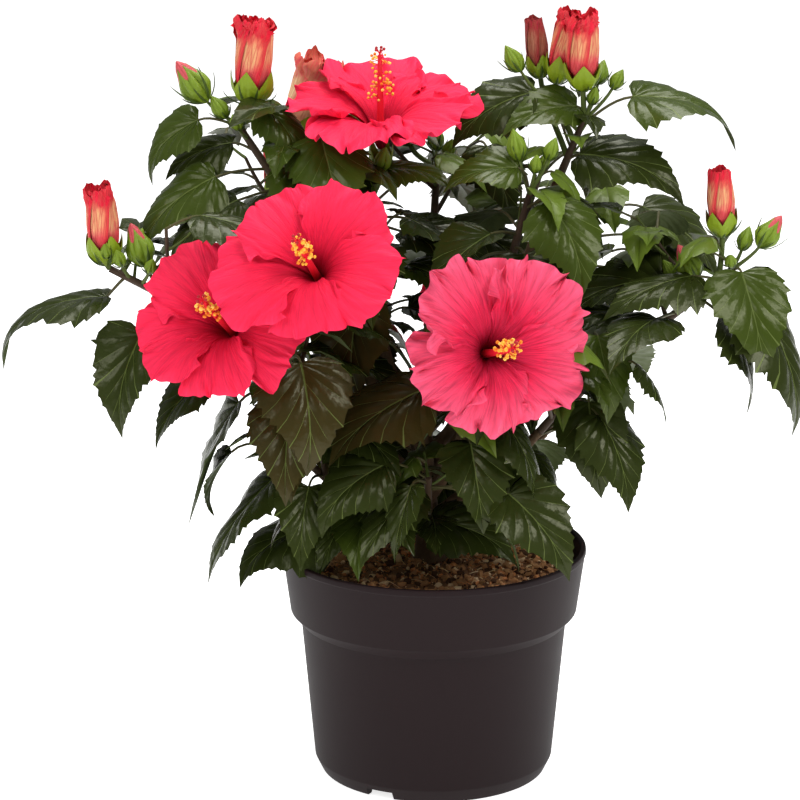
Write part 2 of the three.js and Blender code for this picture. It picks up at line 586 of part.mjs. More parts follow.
// The boughs, and the stem that runs on from each into its mass
const masses = {};
const boughCutters = [trunkCutter];
MASSES.forEach((mass, index) => {
  const foot = trunkLine.getPointAt((mass.foot - TRUNK_FOOT[2]) / trunkHeight);
  const tip = vector(mass.tip);
  const end = vector(mass.end);
  const onward = end.clone().sub(tip).normalize();
  const out = Math.atan2(tip.y - foot.y, tip.x - foot.x);
  const line = bentLine(foot, heading(THREE.MathUtils.radToDeg(out), BOUGH_RISE), tip, onward);
  const thickness = taper(BOUGH_RADIUS, BOUGH_TIP_RADIUS);
  const whole = limb(line, thickness, ...BOUGH_SECTIONS);
  const bough = boughCutters.reduce((rest, cutter) => rest.subtract(cutter), whole);
  boughCutters.push(limb(line, thickness, ...BOUGH_SECTIONS, GAP));
  place(plant, `bough_${mass.name}`, bough, foot, 'bark');
  const stemLine = new THREE.LineCurve3(tip.clone().addScaledVector(onward, GAP), end);
  const stem = limb(stemLine, taper(BOUGH_TIP_RADIUS, STEM_TIP_RADIUS), ...STEM_SECTIONS);
  const stemCutter = limb(stemLine, taper(BOUGH_TIP_RADIUS, STEM_TIP_RADIUS), ...STEM_SECTIONS, GAP);
  fixed.push(obstacle(bough));
  const grown = { limbs: [stem], lines: [stemLine], leaves: [], cutters: [] };
  masses[mass.name] = { ...mass, ...grown, index, stemLine, stemCutter };
});

// The flowers, each fused to its own stalk, which starts on its mass's stem
function addFlower(name, flower, foot, way, from, finish) {
  const root = from.stemLine.getPointAt(from.at);
  const line = bentLine(root, from.startWay, foot, way);
  const stalk = limb(line, taper(STALK_RADIUS, STALK_TIP_RADIUS), ...STALK_SECTIONS);
  const whole = flower.add(stalk).subtract(from.stemCutter);
  from.cutters.push(limb(line, taper(STALK_RADIUS, STALK_TIP_RADIUS), ...STALK_SECTIONS, GAP));
  place(plant, name, whole, root, finish);
  fixed.push(obstacle(whole));
}

BLOOMS.forEach((bloom, index) => {
  const mass = masses[bloom.mass];
  const way = heading(bloom.azimuth, bloom.rise);
  const face = vector(bloom.face);
  const foot = face.clone().addScaledVector(way, CALYX_SINK - CALYX_FOOT);
  const startWay = foot.clone().sub(mass.stemLine.getPointAt(bloom.at)).normalize();
  addFlower(`bloom_${bloom.name}`, makeBloom(face, way, bloom.radius, index), foot, way,
    { ...mass, at: bloom.at, startWay }, 'petal');
});

ROLLED.forEach((rolled, index) => {
  const mass = masses[rolled.mass];
  const foot = vector(rolled.foot);
  const top = vector(rolled.top);
  const way = top.clone().sub(foot).normalize();
  const startWay = foot.clone().sub(mass.stemLine.getPointAt(rolled.at)).normalize();
  addFlower(`rolled_${rolled.name}`, makeRolled(foot, top, rolled.radius, index),
    foot.clone().addScaledVector(way, ROLLED_SINK), way, { ...mass, at: rolled.at, startWay }, 'rolled');
});

// The side twigs that the seeded rule grows from each mass's stem
Object.values(masses).forEach((mass) => {
  const along = mass.stemLine.getTangentAt(0);
  for (let t = 0; t < mass.twigs; t += 1) {
    const at = (t + 0.6) / (mass.twigs + 0.4);
    const root = mass.stemLine.getPointAt(at);
    for (let attempt = 0; attempt < LEAF_TRIES.length; attempt += 1) {
      const turn = 360 * seeded(mass.index, 7, t) + LEAF_SPIRAL * t + LEAF_TRIES[attempt] * 2;
      const way = along.clone().applyAxisAngle(UP, radians(turn));
      way.lerp(heading(turn, TWIG_RISE), TWIG_SPREAD).normalize();
      const length = between(...TWIG_LENGTHS, mass.index, 8, t);
      const end = root.clone().addScaledVector(way, length).addScaledVector(UP, length * TWIG_LIFT);
      const line = bentLine(root, way, end, way.clone().lerp(UP, TWIG_UPTURN).normalize());
      const radiusAt = taper(TWIG_RADIUS, TWIG_TIP_RADIUS);
      const others = Object.values(masses).filter((other) => other !== mass).flatMap((other) => other.limbs);
      const grown = limb(line, radiusAt, ...TWIG_SECTIONS, TWIG_CLEARANCE);
      if (isClear(grown, [...fixed, ...others.map(obstacle)])) {
        mass.limbs.push(limb(line, radiusAt, ...TWIG_SECTIONS));
        mass.lines.push(line);
        break;
      }
    }
  }
});

// The buds on their stalks
Object.values(masses).forEach((mass) => {
  mass.buds.forEach(([at, azimuth, rise, stalk, length]) => {
    const root = mass.stemLine.getPointAt(at);
    const way = heading(azimuth, rise);
    const foot = root.clone().addScaledVector(way, stalk);
    const upward = way.clone().lerp(UP, BUD_UPTURN).normalize();
    const line = bentLine(root, way, foot, upward);
    const bud = makeBud(foot.clone().addScaledVector(upward, -BUD_SINK), upward, length);
    const grown = makeBud(foot.clone().addScaledVector(upward, -BUD_SINK * 2), upward, length * BUD_ROOM);
    const stalkLimb = limb(line, taper(TWIG_RADIUS, BUD_STALK_TIP_RADIUS), ...BUD_STALK_SECTIONS);
    if (isClear(grown, fixed)) mass.limbs.push(bud, stalkLimb);
  });
});

// The leaves: first those of the photographed outline, then those of the seeded rule
function growLeaf(mass, line, at, turns, stalk, rise, length, pitch) {
  const root = line.getPointAt(at);
  const others = Object.values(masses).filter((other) => other !== mass);
  const apart = [...fixed, ...others.flatMap((other) => [...other.limbs, ...other.leaves]).map(obstacle)];
  const own = mass.leaves.map(obstacle);
  for (const azimuth of turns) {
    const grown = makeLeaf(root, azimuth, stalk, rise, length, pitch, LEAF_CLEARANCE);
    if (isInCrown(grown) && isClear(grown, [...apart, ...own])) {
      mass.leaves.push(makeLeaf(root, azimuth, stalk, rise, length, pitch));
      return;
    }
  }
}

Object.values(masses).forEach((mass) => {
  mass.outline.forEach(([at, azimuth, stalk, rise, length, pitch]) => {
    const turns = OUTLINE_TRIES.map((turn) => azimuth + turn);
    growLeaf(mass, mass.stemLine, at, turns, stalk, rise, length, pitch);
  });
});

Object.values(masses).forEach((mass) => {
  mass.lines.forEach((line, which) => {
    const total = which === 0 ? mass.count : TWIG_LEAVES;
    for (let k = 0; k < total; k += 1) {
      const at = which === 0 ? (k + 0.4) / total : (k + 1) / total;
      const first = 360 * seeded(mass.index, 11, which) + LEAF_SPIRAL * k;
      const turns = LEAF_TRIES.map((turn) => first + turn);
      const length = between(...BLADE_LENGTHS, mass.index, which, k, 1);
      const stalk = between(...PETIOLE_LENGTHS, mass.index, which, k, 2);
      const rise = between(...PETIOLE_RISES, mass.index, which, k, 3);
      const pitch = between(...BLADE_PITCHES, mass.index, which, k, 4);
      growLeaf(mass, line, at, turns, stalk, rise, length, pitch);
    }
  });
});

// Each mass is one solid: its stem and twigs with the buds and leaves fused on
Object.values(masses).forEach((mass) => {
  const whole = [...mass.limbs, ...mass.leaves].reduce((sum, piece) => sum.add(piece));
  const apart = mass.cutters.reduce((rest, cutter) => rest.subtract(cutter), whole);
  place(plant, `foliage_${mass.name}`, apart, mass.stemLine.getPointAt(0), 'leaf');
});

const hibiscus = new THREE.Group();
hibiscus.name = 'potted_hibiscus';
hibiscus.add(container, plant);

export default hibiscus;
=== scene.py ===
import math
import random
import bpy
import numpy as np
from mathutils import Matrix, Vector
from mathutils.bvhtree import BVHTree


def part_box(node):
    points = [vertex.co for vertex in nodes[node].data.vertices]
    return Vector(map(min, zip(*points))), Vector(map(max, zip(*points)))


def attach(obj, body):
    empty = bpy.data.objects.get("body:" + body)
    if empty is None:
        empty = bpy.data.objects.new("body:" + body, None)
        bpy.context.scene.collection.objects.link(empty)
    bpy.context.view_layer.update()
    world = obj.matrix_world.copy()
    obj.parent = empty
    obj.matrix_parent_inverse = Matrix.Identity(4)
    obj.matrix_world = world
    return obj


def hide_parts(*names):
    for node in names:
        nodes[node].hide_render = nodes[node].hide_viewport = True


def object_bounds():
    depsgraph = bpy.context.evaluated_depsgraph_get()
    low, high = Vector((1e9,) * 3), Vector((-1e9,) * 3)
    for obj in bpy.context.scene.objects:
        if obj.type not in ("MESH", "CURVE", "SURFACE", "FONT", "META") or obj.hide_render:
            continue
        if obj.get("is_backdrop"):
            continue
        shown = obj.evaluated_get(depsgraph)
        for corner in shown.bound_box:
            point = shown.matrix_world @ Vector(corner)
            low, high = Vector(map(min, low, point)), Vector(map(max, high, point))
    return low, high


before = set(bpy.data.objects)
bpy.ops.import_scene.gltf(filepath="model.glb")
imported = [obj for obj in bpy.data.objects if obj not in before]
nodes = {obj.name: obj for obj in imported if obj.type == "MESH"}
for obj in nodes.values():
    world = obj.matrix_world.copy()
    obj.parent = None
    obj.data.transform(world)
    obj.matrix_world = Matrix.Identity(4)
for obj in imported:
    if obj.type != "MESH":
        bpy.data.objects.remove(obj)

# Studio: a white floor that runs on far round the plant, large soft lamps above, to the right
# and to the left, and a camera somewhat above the flowers that looks down on them.
cad_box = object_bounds()
bpy.ops.object.select_all(action="DESELECT")
bpy.ops.mesh.primitive_plane_add(size=80, location=(0, 0, 0))
floor = bpy.context.object
floor.name = "floor"
paper = bpy.data.materials.new("white_paper")
paper.use_nodes = True
paper_shader = paper.node_tree.nodes["Principled BSDF"]
paper_shader.inputs["Base Color"].default_value = (0.9, 0.9, 0.9, 1)
paper_shader.inputs["Roughness"].default_value = 0.9
paper_shader.inputs["Emission Color"].default_value = (1, 1, 1, 1)
paper_shader.inputs["Emission Strength"].default_value = 0.78
floor.data.materials.append(paper)
floor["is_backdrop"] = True

bpy.ops.object.camera_add(location=(-0.0211, -2.1251, 0.8074), rotation=(math.radians(75), 0, 0))
camera = bpy.context.object
camera.data.lens = 160.2
camera.data.sensor_width = 36
scene = bpy.context.scene
scene.camera = camera
scene.view_settings.view_transform = "Standard"

room = bpy.data.worlds.new("studio_room")
room.use_nodes = True
room.node_tree.nodes["Background"].inputs["Color"].default_value = (1, 1, 1, 1)
room.node_tree.nodes["Background"].inputs["Strength"].default_value = 0.28
scene.world = room


def soft_lamp(name, place, size, power):
    """A square lamp that shines from its place at the middle of the crown."""
    bpy.ops.object.light_add(type="AREA", location=place)
    lamp = bpy.context.object
    lamp.name = name
    lamp.data.shape = "SQUARE"
    lamp.data.size = size
    lamp.data.energy = power
    aim = Vector((0, 0, 0.28)) - Vector(place)
    lamp.rotation_euler = aim.to_track_quat("-Z", "Y").to_euler()


soft_lamp("lamp_right", (1.2, -1.0, 1.8), 0.9, 26)
soft_lamp("lamp_left", (-1.3, -1.1, 1.6), 1.1, 19)
soft_lamp("lamp_above", (0.1, 0.5, 1.9), 1.1, 30)


# Pot: one thin-walled nursery pot moulded in dark, matte plastic. It has a deep rim band with a
# rounded lip, a body that narrows downwards and a foot ring with notches that let water out.
def plain_finish(name, colour, roughness):
    """A finish of one colour. Returns the material and its shader."""
    finish = bpy.data.materials.new(name)
    finish.use_nodes = True
    shader = finish.node_tree.nodes["Principled BSDF"]
    shader.inputs["Base Color"].default_value = (*colour, 1)
    shader.inputs["Roughness"].default_value = roughness
    shader.inputs["Specular IOR Level"].default_value = 0.25
    finish.diffuse_color = (*colour, 1)
    return finish, shader


def add_node(tree, kind, sockets, **options):
    """A shader node with its options. Each socket is given its value, or the output that feeds it."""
    node = tree.nodes.new("ShaderNode" + kind)
    for name, option in options.items():
        setattr(node, name, option)
    for name, given in sockets.items():
        if isinstance(given, bpy.types.NodeSocket):
            tree.links.new(given, node.inputs[name])
        else:
            node.inputs[name].default_value = given
    return node


def add_relief(tree, shader, height, depth):
    """Raises a finish where height is large, by up to depth in metres."""
    bump = add_node(tree, "Bump", {"Distance": depth, "Height": height})
    tree.links.new(bump.outputs["Normal"], shader.inputs["Normal"])


def add_grain(finish, shader, scale, depth, detail=4):
    """Raises a fine irregular grain on a finish, its depth in metres."""
    tree = finish.node_tree
    place = add_node(tree, "TexCoord", {}).outputs["Object"]
    noise = add_node(tree, "TexNoise", {"Scale": scale, "Detail": detail, "Vector": place})
    add_relief(tree, shader, noise.outputs["Fac"], depth)


def rounded(outline):
    """A half outline whose corners, written (across, up, radius), are rounded by their radius."""
    points = []
    for i, (across, up, radius) in enumerate(outline):
        corner = Vector((across, up))
        if radius == 0:
            points.append(corner)
            continue
        back = Vector(outline[i - 1][:2]) - corner
        ahead = Vector(outline[i + 1][:2]) - corner
        run = radius / math.tan(back.angle(ahead) / 2)
        run = min(run, 0.45 * back.length, 0.45 * ahead.length)
        start = corner + back.normalized() * run
        end = corner + ahead.normalized() * run
        for step in range(5):
            t = step / 4
            points.append(start * (1 - t) ** 2 + corner * 2 * t * (1 - t) + end * t ** 2)
    return points


def pick(*pieces):
    """Selects these pieces and no others, the first as the active one."""
    bpy.ops.object.select_all(action="DESELECT")
    for piece in pieces:
        piece.select_set(True)
    bpy.context.view_layer.objects.active = pieces[0]


def turned(name, outline, steps):
    """A round piece, turned about the upright axis from its half outline."""
    bpy.ops.object.select_all(action="DESELECT")
    bpy.ops.mesh.primitive_plane_add(size=0.01)
    piece = bpy.context.object
    piece.name = name
    bpy.ops.object.mode_set(mode="EDIT")
    bpy.ops.mesh.select_all(action="SELECT")
    bpy.ops.mesh.merge(type="CENTER")
    bpy.ops.transform.translate(value=(outline[0][0], 0, outline[0][1]))
    for before, after in zip(outline, outline[1:]):
        step = (after[0] - before[0], 0, after[1] - before[1])
        bpy.ops.mesh.extrude_region_move(TRANSFORM_OT_translate={"value": step})
    bpy.ops.mesh.select_all(action="SELECT")
    bpy.ops.mesh.spin(steps=steps, angle=math.tau, center=(0, 0, 0), axis=(0, 0, 1))
    bpy.ops.mesh.select_all(action="SELECT")
    bpy.ops.mesh.remove_doubles(threshold=0.00001)
    bpy.ops.mesh.normals_make_consistent(inside=False)
    bpy.ops.object.mode_set(mode="OBJECT")
    return piece


def cut_away(piece, cutter):
    """Takes the cutter's shape out of the piece, then deletes the cutter."""
    modifier = piece.modifiers.new("cut", "BOOLEAN")
    modifier.operation = "DIFFERENCE"
    modifier.solver = "EXACT"
    modifier.object = cutter
    pick(piece)
    bpy.ops.object.modifier_apply(modifier="cut")
    bpy.data.objects.remove(cutter)


pot_outline = rounded([
    (0, 0.0002, 0), (0.026, 0.0002, 0.0006), (0.029, 0.006, 0.001), (0.063, 0.006, 0.001),
    (0.066, 0.0002, 0.0006), (0.0705, 0.0002, 0.0012), (0.0748, 0.009, 0.004), (0.083, 0.0975, 0.0012),
    (0.0896, 0.1045, 0.0016), (0.0945, 0.1405, 0.0008), (0.0952, 0.1414, 0.0009), (0.095, 0.1449, 0.0012),
    (0.0918, 0.1449, 0.0012), (0.0915, 0.141, 0.002), (0.0878, 0.107, 0.002), (0.081, 0.099, 0.002),
    (0.0728, 0.009, 0.003), (0.066, 0.008, 0.001), (0, 0.008, 0)])
pot_shell = turned("pot_shell", pot_outline, 144)
for i in range(3):
    bpy.ops.mesh.primitive_cube_add(size=1)
    notch = bpy.context.object
    notch.scale = (0.024, 0.018, 0.011)
    azimuth = math.radians(-118 + 120 * i)
    notch.location = (0.074 * math.cos(azimuth), 0.074 * math.sin(azimuth), 0)
    notch.rotation_euler = (0, 0, azimuth)
    cut_away(pot_shell, notch)
for i in range(4):
    azimuth = math.radians(90 * (i + 0.5))
    place = (0.044 * math.cos(azimuth), 0.044 * math.sin(azimuth), 0.006)
    bpy.ops.mesh.primitive_cylinder_add(vertices=32, radius=0.005, depth=0.02, location=place)
    cut_away(pot_shell, bpy.context.object)
pick(pot_shell)
bpy.ops.object.shade_smooth_by_angle(angle=math.radians(32))
dark_plastic, shader = plain_finish("dark_plastic", (0.0098, 0.0037, 0.0043), 0.6)
shader.inputs["Specular IOR Level"].default_value = 0.155
add_grain(dark_plastic, shader, 900, 0.00004)
pot_shell.data.materials.clear()
pot_shell.data.materials.append(dark_plastic)
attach(pot_shell, "root")
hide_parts("pot")


# Soil: moist peat filled in to the rim band and a little heaped at the trunk. Loose crumbs and
# short reddish fibres lie on it, as they do on bought potting compost.
def new_heap():
    """Many small things that are joined into one piece. Their corners are in millimetres."""
    return {"corners": [], "faces": [], "finish": [], "uv": [], "count": 0}


def lay(heap, corners, faces, finish, uv=None):
    """Adds corners and their triangles to a heap. finish is one number, or one for each triangle."""
    faces = np.asarray(faces)
    heap["corners"].append(np.asarray(corners, dtype=float))
    heap["faces"].append(faces + heap["count"])
    heap["finish"].append(np.broadcast_to(finish, len(faces)))
    heap["uv"].append(np.zeros((len(corners), 2)) if uv is None else uv)
    heap["count"] += len(corners)


def joined(name, heap, finishes, sharp=60):
    """Makes a heap into one smooth piece with a crease wherever it turns more sharply."""
    mesh = bpy.data.meshes.new(name)
    faces = np.concatenate(heap["faces"])
    mesh.from_pydata(np.concatenate(heap["corners"]) * 0.001, [], faces)
    for finish in finishes:
        mesh.materials.append(finish)
    mesh.polygons.foreach_set("material_index", np.concatenate(heap["finish"]).astype(np.int32))
    uv_map = mesh.uv_layers.new(name="across_and_along")
    uv_map.data.foreach_set("uv", np.concatenate(heap["uv"])[faces.ravel()].ravel())
    piece = bpy.data.objects.new(name, mesh)
    scene.collection.objects.link(piece)
    pick(piece)
    bpy.ops.object.mode_set(mode="EDIT")
    bpy.ops.mesh.select_all(action="SELECT")
    bpy.ops.mesh.remove_doubles(threshold=0.000001)
    bpy.ops.object.mode_set(mode="OBJECT")
    bpy.ops.object.shade_smooth_by_angle(angle=math.radians(sharp))
    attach(piece, "root")
    return piece


def roughen(piece, size, depth, detail, group="", direction="NORMAL"):
    """Raises lumps of that size on a piece, by up to depth, both in metres."""
    lumps = bpy.data.textures.new("lumps", "CLOUDS")
    lumps.noise_scale = size
    lumps.noise_depth = detail
    relief = piece.modifiers.new("relief", "DISPLACE")
    relief.texture = lumps
    relief.texture_coords = "LOCAL"
    relief.vertex_group = group
    relief.direction = direction
    relief.strength = depth
    bpy.ops.object.modifier_apply(modifier="relief")


soil_outline = [(0, 0.0085), (0.063, 0.0085), (0.0715, 0.0095), (0.0795, 0.0985), (0.086, 0.107),
                (0.0875, 0.127)]
soil_outline += [(0.087 - 0.0029 * i, 0.1292 + 0.0042 * (i / 30) ** 2) for i in range(30)] + [(0, 0.1334)]
soil_body = turned("soil_body", soil_outline, 128)
soil_top = soil_body.vertex_groups.new(name="top")
soil_top.add([corner.index for corner in soil_body.data.vertices if corner.co.z > 0.12], 1, "REPLACE")
roughen(soil_body, 0.014, 0.0035, 3, "top", "Z")
roughen(soil_body, 0.0035, 0.0022, 3, "top", "Z")
bpy.ops.object.shade_smooth()
peat, shader = plain_finish("dark_peat", (0.26, 0.125, 0.06), 0.95)
add_grain(peat, shader, 500, 0.0008)
soil_body.data.materials.clear()
soil_body.data.materials.append(peat)
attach(soil_body, "root")
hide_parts("soil")

bpy.ops.mesh.primitive_ico_sphere_add(subdivisions=1, radius=1)
ball = bpy.context.object
ball_corners = np.array([corner.co for corner in ball.data.vertices])
ball_faces = np.array([face.vertices[:] for face in ball.data.polygons])
bpy.data.objects.remove(ball)
soil_surface = BVHTree.FromPolygons([corner.co for corner in soil_body.data.vertices],
                                    [face.vertices[:] for face in soil_body.data.polygons])
dice = random.Random(7)


def soil_spot(widest):
    """A spot on the soil at random, in millimetres, with widest its greatest distance out in metres."""
    azimuth = dice.uniform(0, math.tau)
    out = widest * math.sqrt(dice.random())
    above = Vector((out * math.cos(azimuth), out * math.sin(azimuth), 0.2))
    return np.array(soil_surface.ray_cast(above, Vector((0, 0, -1)))[0]) * 1000


dark, brown, light, red, golden = range(5)
crumbs = new_heap()
for i in range(3600):
    spot = soil_spot(0.0862)
    size = 0.5 + 2.5 * dice.random() ** 3
    stretch = np.array([dice.uniform(0.6, 1.5), dice.uniform(0.6, 1.2), dice.uniform(0.5, 0.9)]) * size
    angle = dice.uniform(0, 6)
    turn = np.array(Matrix.Rotation(angle, 3, (dice.random(), dice.random(), dice.random() + 0.1)))
    dents = np.array([[dice.uniform(0.7, 1.2)] for corner in ball_corners])
    corners = (ball_corners * dents * stretch) @ turn + spot
    corners[:, 2] += size * 0.3
    lay(crumbs, corners, ball_faces, dice.choice((dark, dark, brown, brown, brown, light, red)))


def ring_frames(points):
    """For a line of points: two directions square to the line at each of them, that don't twist."""
    ways = np.gradient(points, axis=0)
    ways /= np.linalg.norm(ways, axis=1)[:, None]
    across = np.cross(ways[0], (0, 0, 1))
    if np.linalg.norm(across) < 0.1:
        across = np.cross(ways[0], (0, 1, 0))
    firsts = []
    for way in ways:
        across = across - way * (across @ way)
        across = across / np.linalg.norm(across)
        firsts.append(across)
    firsts = np.array(firsts)
    return firsts, np.cross(ways, firsts)


def add_tube(heap, points, radii, sides, finish):
    """A round rod along points, closed at both ends, its radius given at each point."""
    points = np.asarray(points, dtype=float)
    firsts, seconds = ring_frames(points)
    angles = np.arange(sides) * math.tau / sides
    ring = firsts[:, None] * np.cos(angles)[:, None] + seconds[:, None] * np.sin(angles)[:, None]
    corners = (points[:, None] + ring * np.asarray(radii)[:, None, None]).reshape(-1, 3)
    faces = []
    for row in range(len(points) - 1):
        for side in range(sides):
            a = row * sides + side
            b = row * sides + (side + 1) % sides
            faces += [(a, b, b + sides), (a, b + sides, a + sides)]
    last = (len(points) - 1) * sides
    for side in range(1, sides - 1):
        faces += [(0, side + 1, side), (last, last + side, last + side + 1)]
    lay(heap, corners, faces, finish)


for i in range(260):
    middle = soil_spot(0.082) + (0, 0, 1)
    lie = np.array([dice.uniform(-1, 1), dice.uniform(-1, 1), dice.uniform(-0.2, 0.35)])
    bow = np.array([dice.uniform(-1, 1), dice.uniform(-1, 1), dice.uniform(0, 1)]) * 1.2
    reach = dice.uniform(1.5, 5.5)
    points = [middle + lie * reach * share + bow * (1 - share ** 2) for share in (-1, -0.5, 0, 0.5, 1)]
    points = [p for p in points if math.hypot(p[0], p[1]) < 86]
    if len(points) > 2:
        radii = [dice.uniform(0.15, 0.4)] * len(points)
        add_tube(crumbs, points, radii, 3, dice.choice((light, red, golden)))
crumb_finishes = []
for name, colour in (("dark_crumb", (0.1, 0.045, 0.022)), ("brown_crumb", (0.5, 0.25, 0.11)),
                     ("light_crumb", (0.92, 0.66, 0.4)), ("red_crumb", (0.72, 0.3, 0.12)),
                     ("golden_fibre", (0.95, 0.66, 0.34))):
    finish, shader = plain_finish(name, colour, 0.9)
    crumb_finishes.append(finish)
joined("soil_crumbs", crumbs, crumb_finishes, sharp=35)


# Trunk and boughs: the young trunk leaves the soil in a short flare and gives off seventeen boughs
# low down, one for each mass of leaves. They have smooth grey-brown bark with small ridges.

